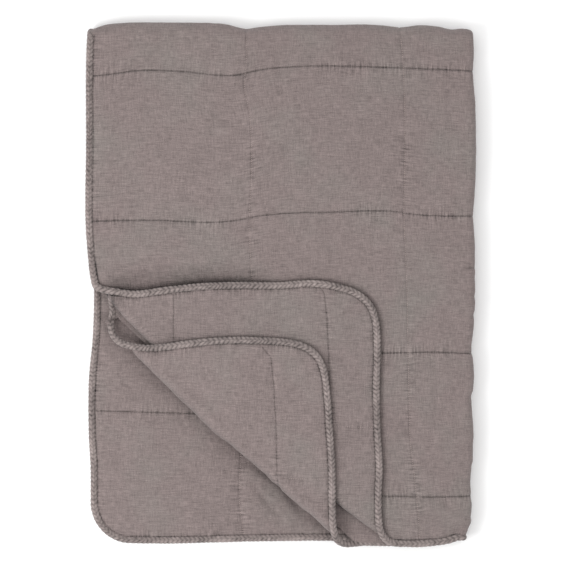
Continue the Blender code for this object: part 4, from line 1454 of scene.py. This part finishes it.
def fibre(name, base, tint, scale, pale=0.0):
    """Batting, rope or thread: matted fibres, paler where the pucker attribute says so."""
    nodes = Nodes(name, 0.95, 0.05)
    tone = nodes.math("MULTIPLY", nodes.attribute("pucker", "Fac"), pale)
    coordinates = nodes.add("ShaderNodeTexCoord").outputs["Object"]
    mat = nodes.noise(coordinates, scale, detail=4, rough=0.65)
    strand = nodes.noise(coordinates, scale * 3, (1, 0.2, 1), 3)
    shade = nodes.math("ADD", nodes.sum((mat, 0.4), (strand, 0.3)), tone)
    nodes.colour(base, shade, tint, nodes.math("ADD", mat, 0.4))
    nodes.bump(nodes.sum((mat, 1.0), (strand, 0.7)), 0.0012)
    return nodes.material


FACE = linen("face_linen", (0.198, 0.159, 0.153), (0.178, 0.162, 0.150))
BACKING = linen("backing_linen", (0.196, 0.158, 0.152), (0.177, 0.161, 0.149))
CORD_COVER = cord_cloth("cord_cover_linen", (0.208, 0.172, 0.164), (0.252, 0.214, 0.204))
CORD_CORE = fibre("cord_core_rope", (0.74, 0.71, 0.65), (0.60, 0.56, 0.50), 300)
BATTING = fibre("cotton_batting", (0.80, 0.78, 0.73), (0.70, 0.67, 0.61), 120)
FACE_THREAD = fibre("sewing_thread", (0.120, 0.097, 0.092), (0.10, 0.08, 0.075), 900, 2.6)
BACK_THREAD = fibre("bobbin_thread", (0.150, 0.122, 0.115), (0.12, 0.10, 0.095), 900, 1.9)


def dress(pieces, material):
    for piece in pieces:
        piece.data.materials.append(material)


dress([upper_face, under_face, lower_face, ground_face, fold_face, under_flap_top, top_flap_low], FACE)
dress([upper_backing, under_backing, lower_backing, fold_backing, top_flap_top, under_flap_low], BACKING)
dress([cords[name] for name in CORD_LINES], CORD_COVER)
dress([cords[name + "_core"] for name in CORD_LINES], CORD_CORE)
dress(PADS, BATTING)
for piece in thread_pieces:
    dress([piece], BACK_THREAD if piece.name.startswith(("top_flap_b", "under_flap_f")) else FACE_THREAD)


# ---------------------------------------------------------------- floor, light and camera

FLOOR_HALF = 6
FLOOR_Z = -0.0002
floor_corners = [(FLOOR_HALF * x, FLOOR_HALF * y, FLOOR_Z)
                 for x, y in ((-1, -1), (1, -1), (1, 1), (-1, 1))]
floor_mesh = bpy.data.meshes.new("floor")
floor_mesh.from_pydata(floor_corners, [], [(0, 1, 2, 3)])
floor = bpy.data.objects.new("floor", floor_mesh)
bpy.context.scene.collection.objects.link(floor)
floor_paint = bpy.data.materials.new("floor_paint")
floor_paint.use_nodes = True
floor_shader = floor_paint.node_tree.nodes["Principled BSDF"]
floor_shader.inputs["Base Color"].default_value = (0.95, 0.95, 0.95, 1)
floor_shader.inputs["Roughness"].default_value = 0.9
floor_mesh.materials.append(floor_paint)


def area_light(name, place, aim, size, power):
    light = bpy.data.lights.new(name, "AREA")
    light.shape = "DISK"
    light.size = size
    light.energy = power
    lamp = bpy.data.objects.new(name, light)
    lamp.location = place
    lamp.rotation_euler = (Vector(aim) - Vector(place)).to_track_quat("-Z", "Y").to_euler()
    bpy.context.scene.collection.objects.link(lamp)


area_light("key", (-1.2, -0.6, 1.9), (0, 0, 0), 1.0, 25)
area_light("overhead", (0.0, 0.2, 3.0), (0, 0, 0), 3.0, 36)
world = bpy.data.worlds.new("studio")
world.use_nodes = True
world.node_tree.nodes["Background"].inputs["Color"].default_value = (1, 1, 1, 1)
world.node_tree.nodes["Background"].inputs["Strength"].default_value = 0.75
bpy.context.scene.world = world
bpy.context.scene.view_settings.view_transform = "Standard"

SENSOR = 36
CAMERA_UP = 4.0          # above the middle of the throw's top
VIEW_WIDTH = 0.9356      # width in view at that distance
camera_data = bpy.data.cameras.new("camera")
camera_data.sensor_width = SENSOR
camera_data.lens = SENSOR * CAMERA_UP / VIEW_WIDTH
camera = bpy.data.objects.new("camera", camera_data)
camera.location = (0.005, 0.001, CAMERA_UP + 0.05)
bpy.context.scene.collection.objects.link(camera)
bpy.context.scene.camera = camera

bpy.context.view_layer.update()
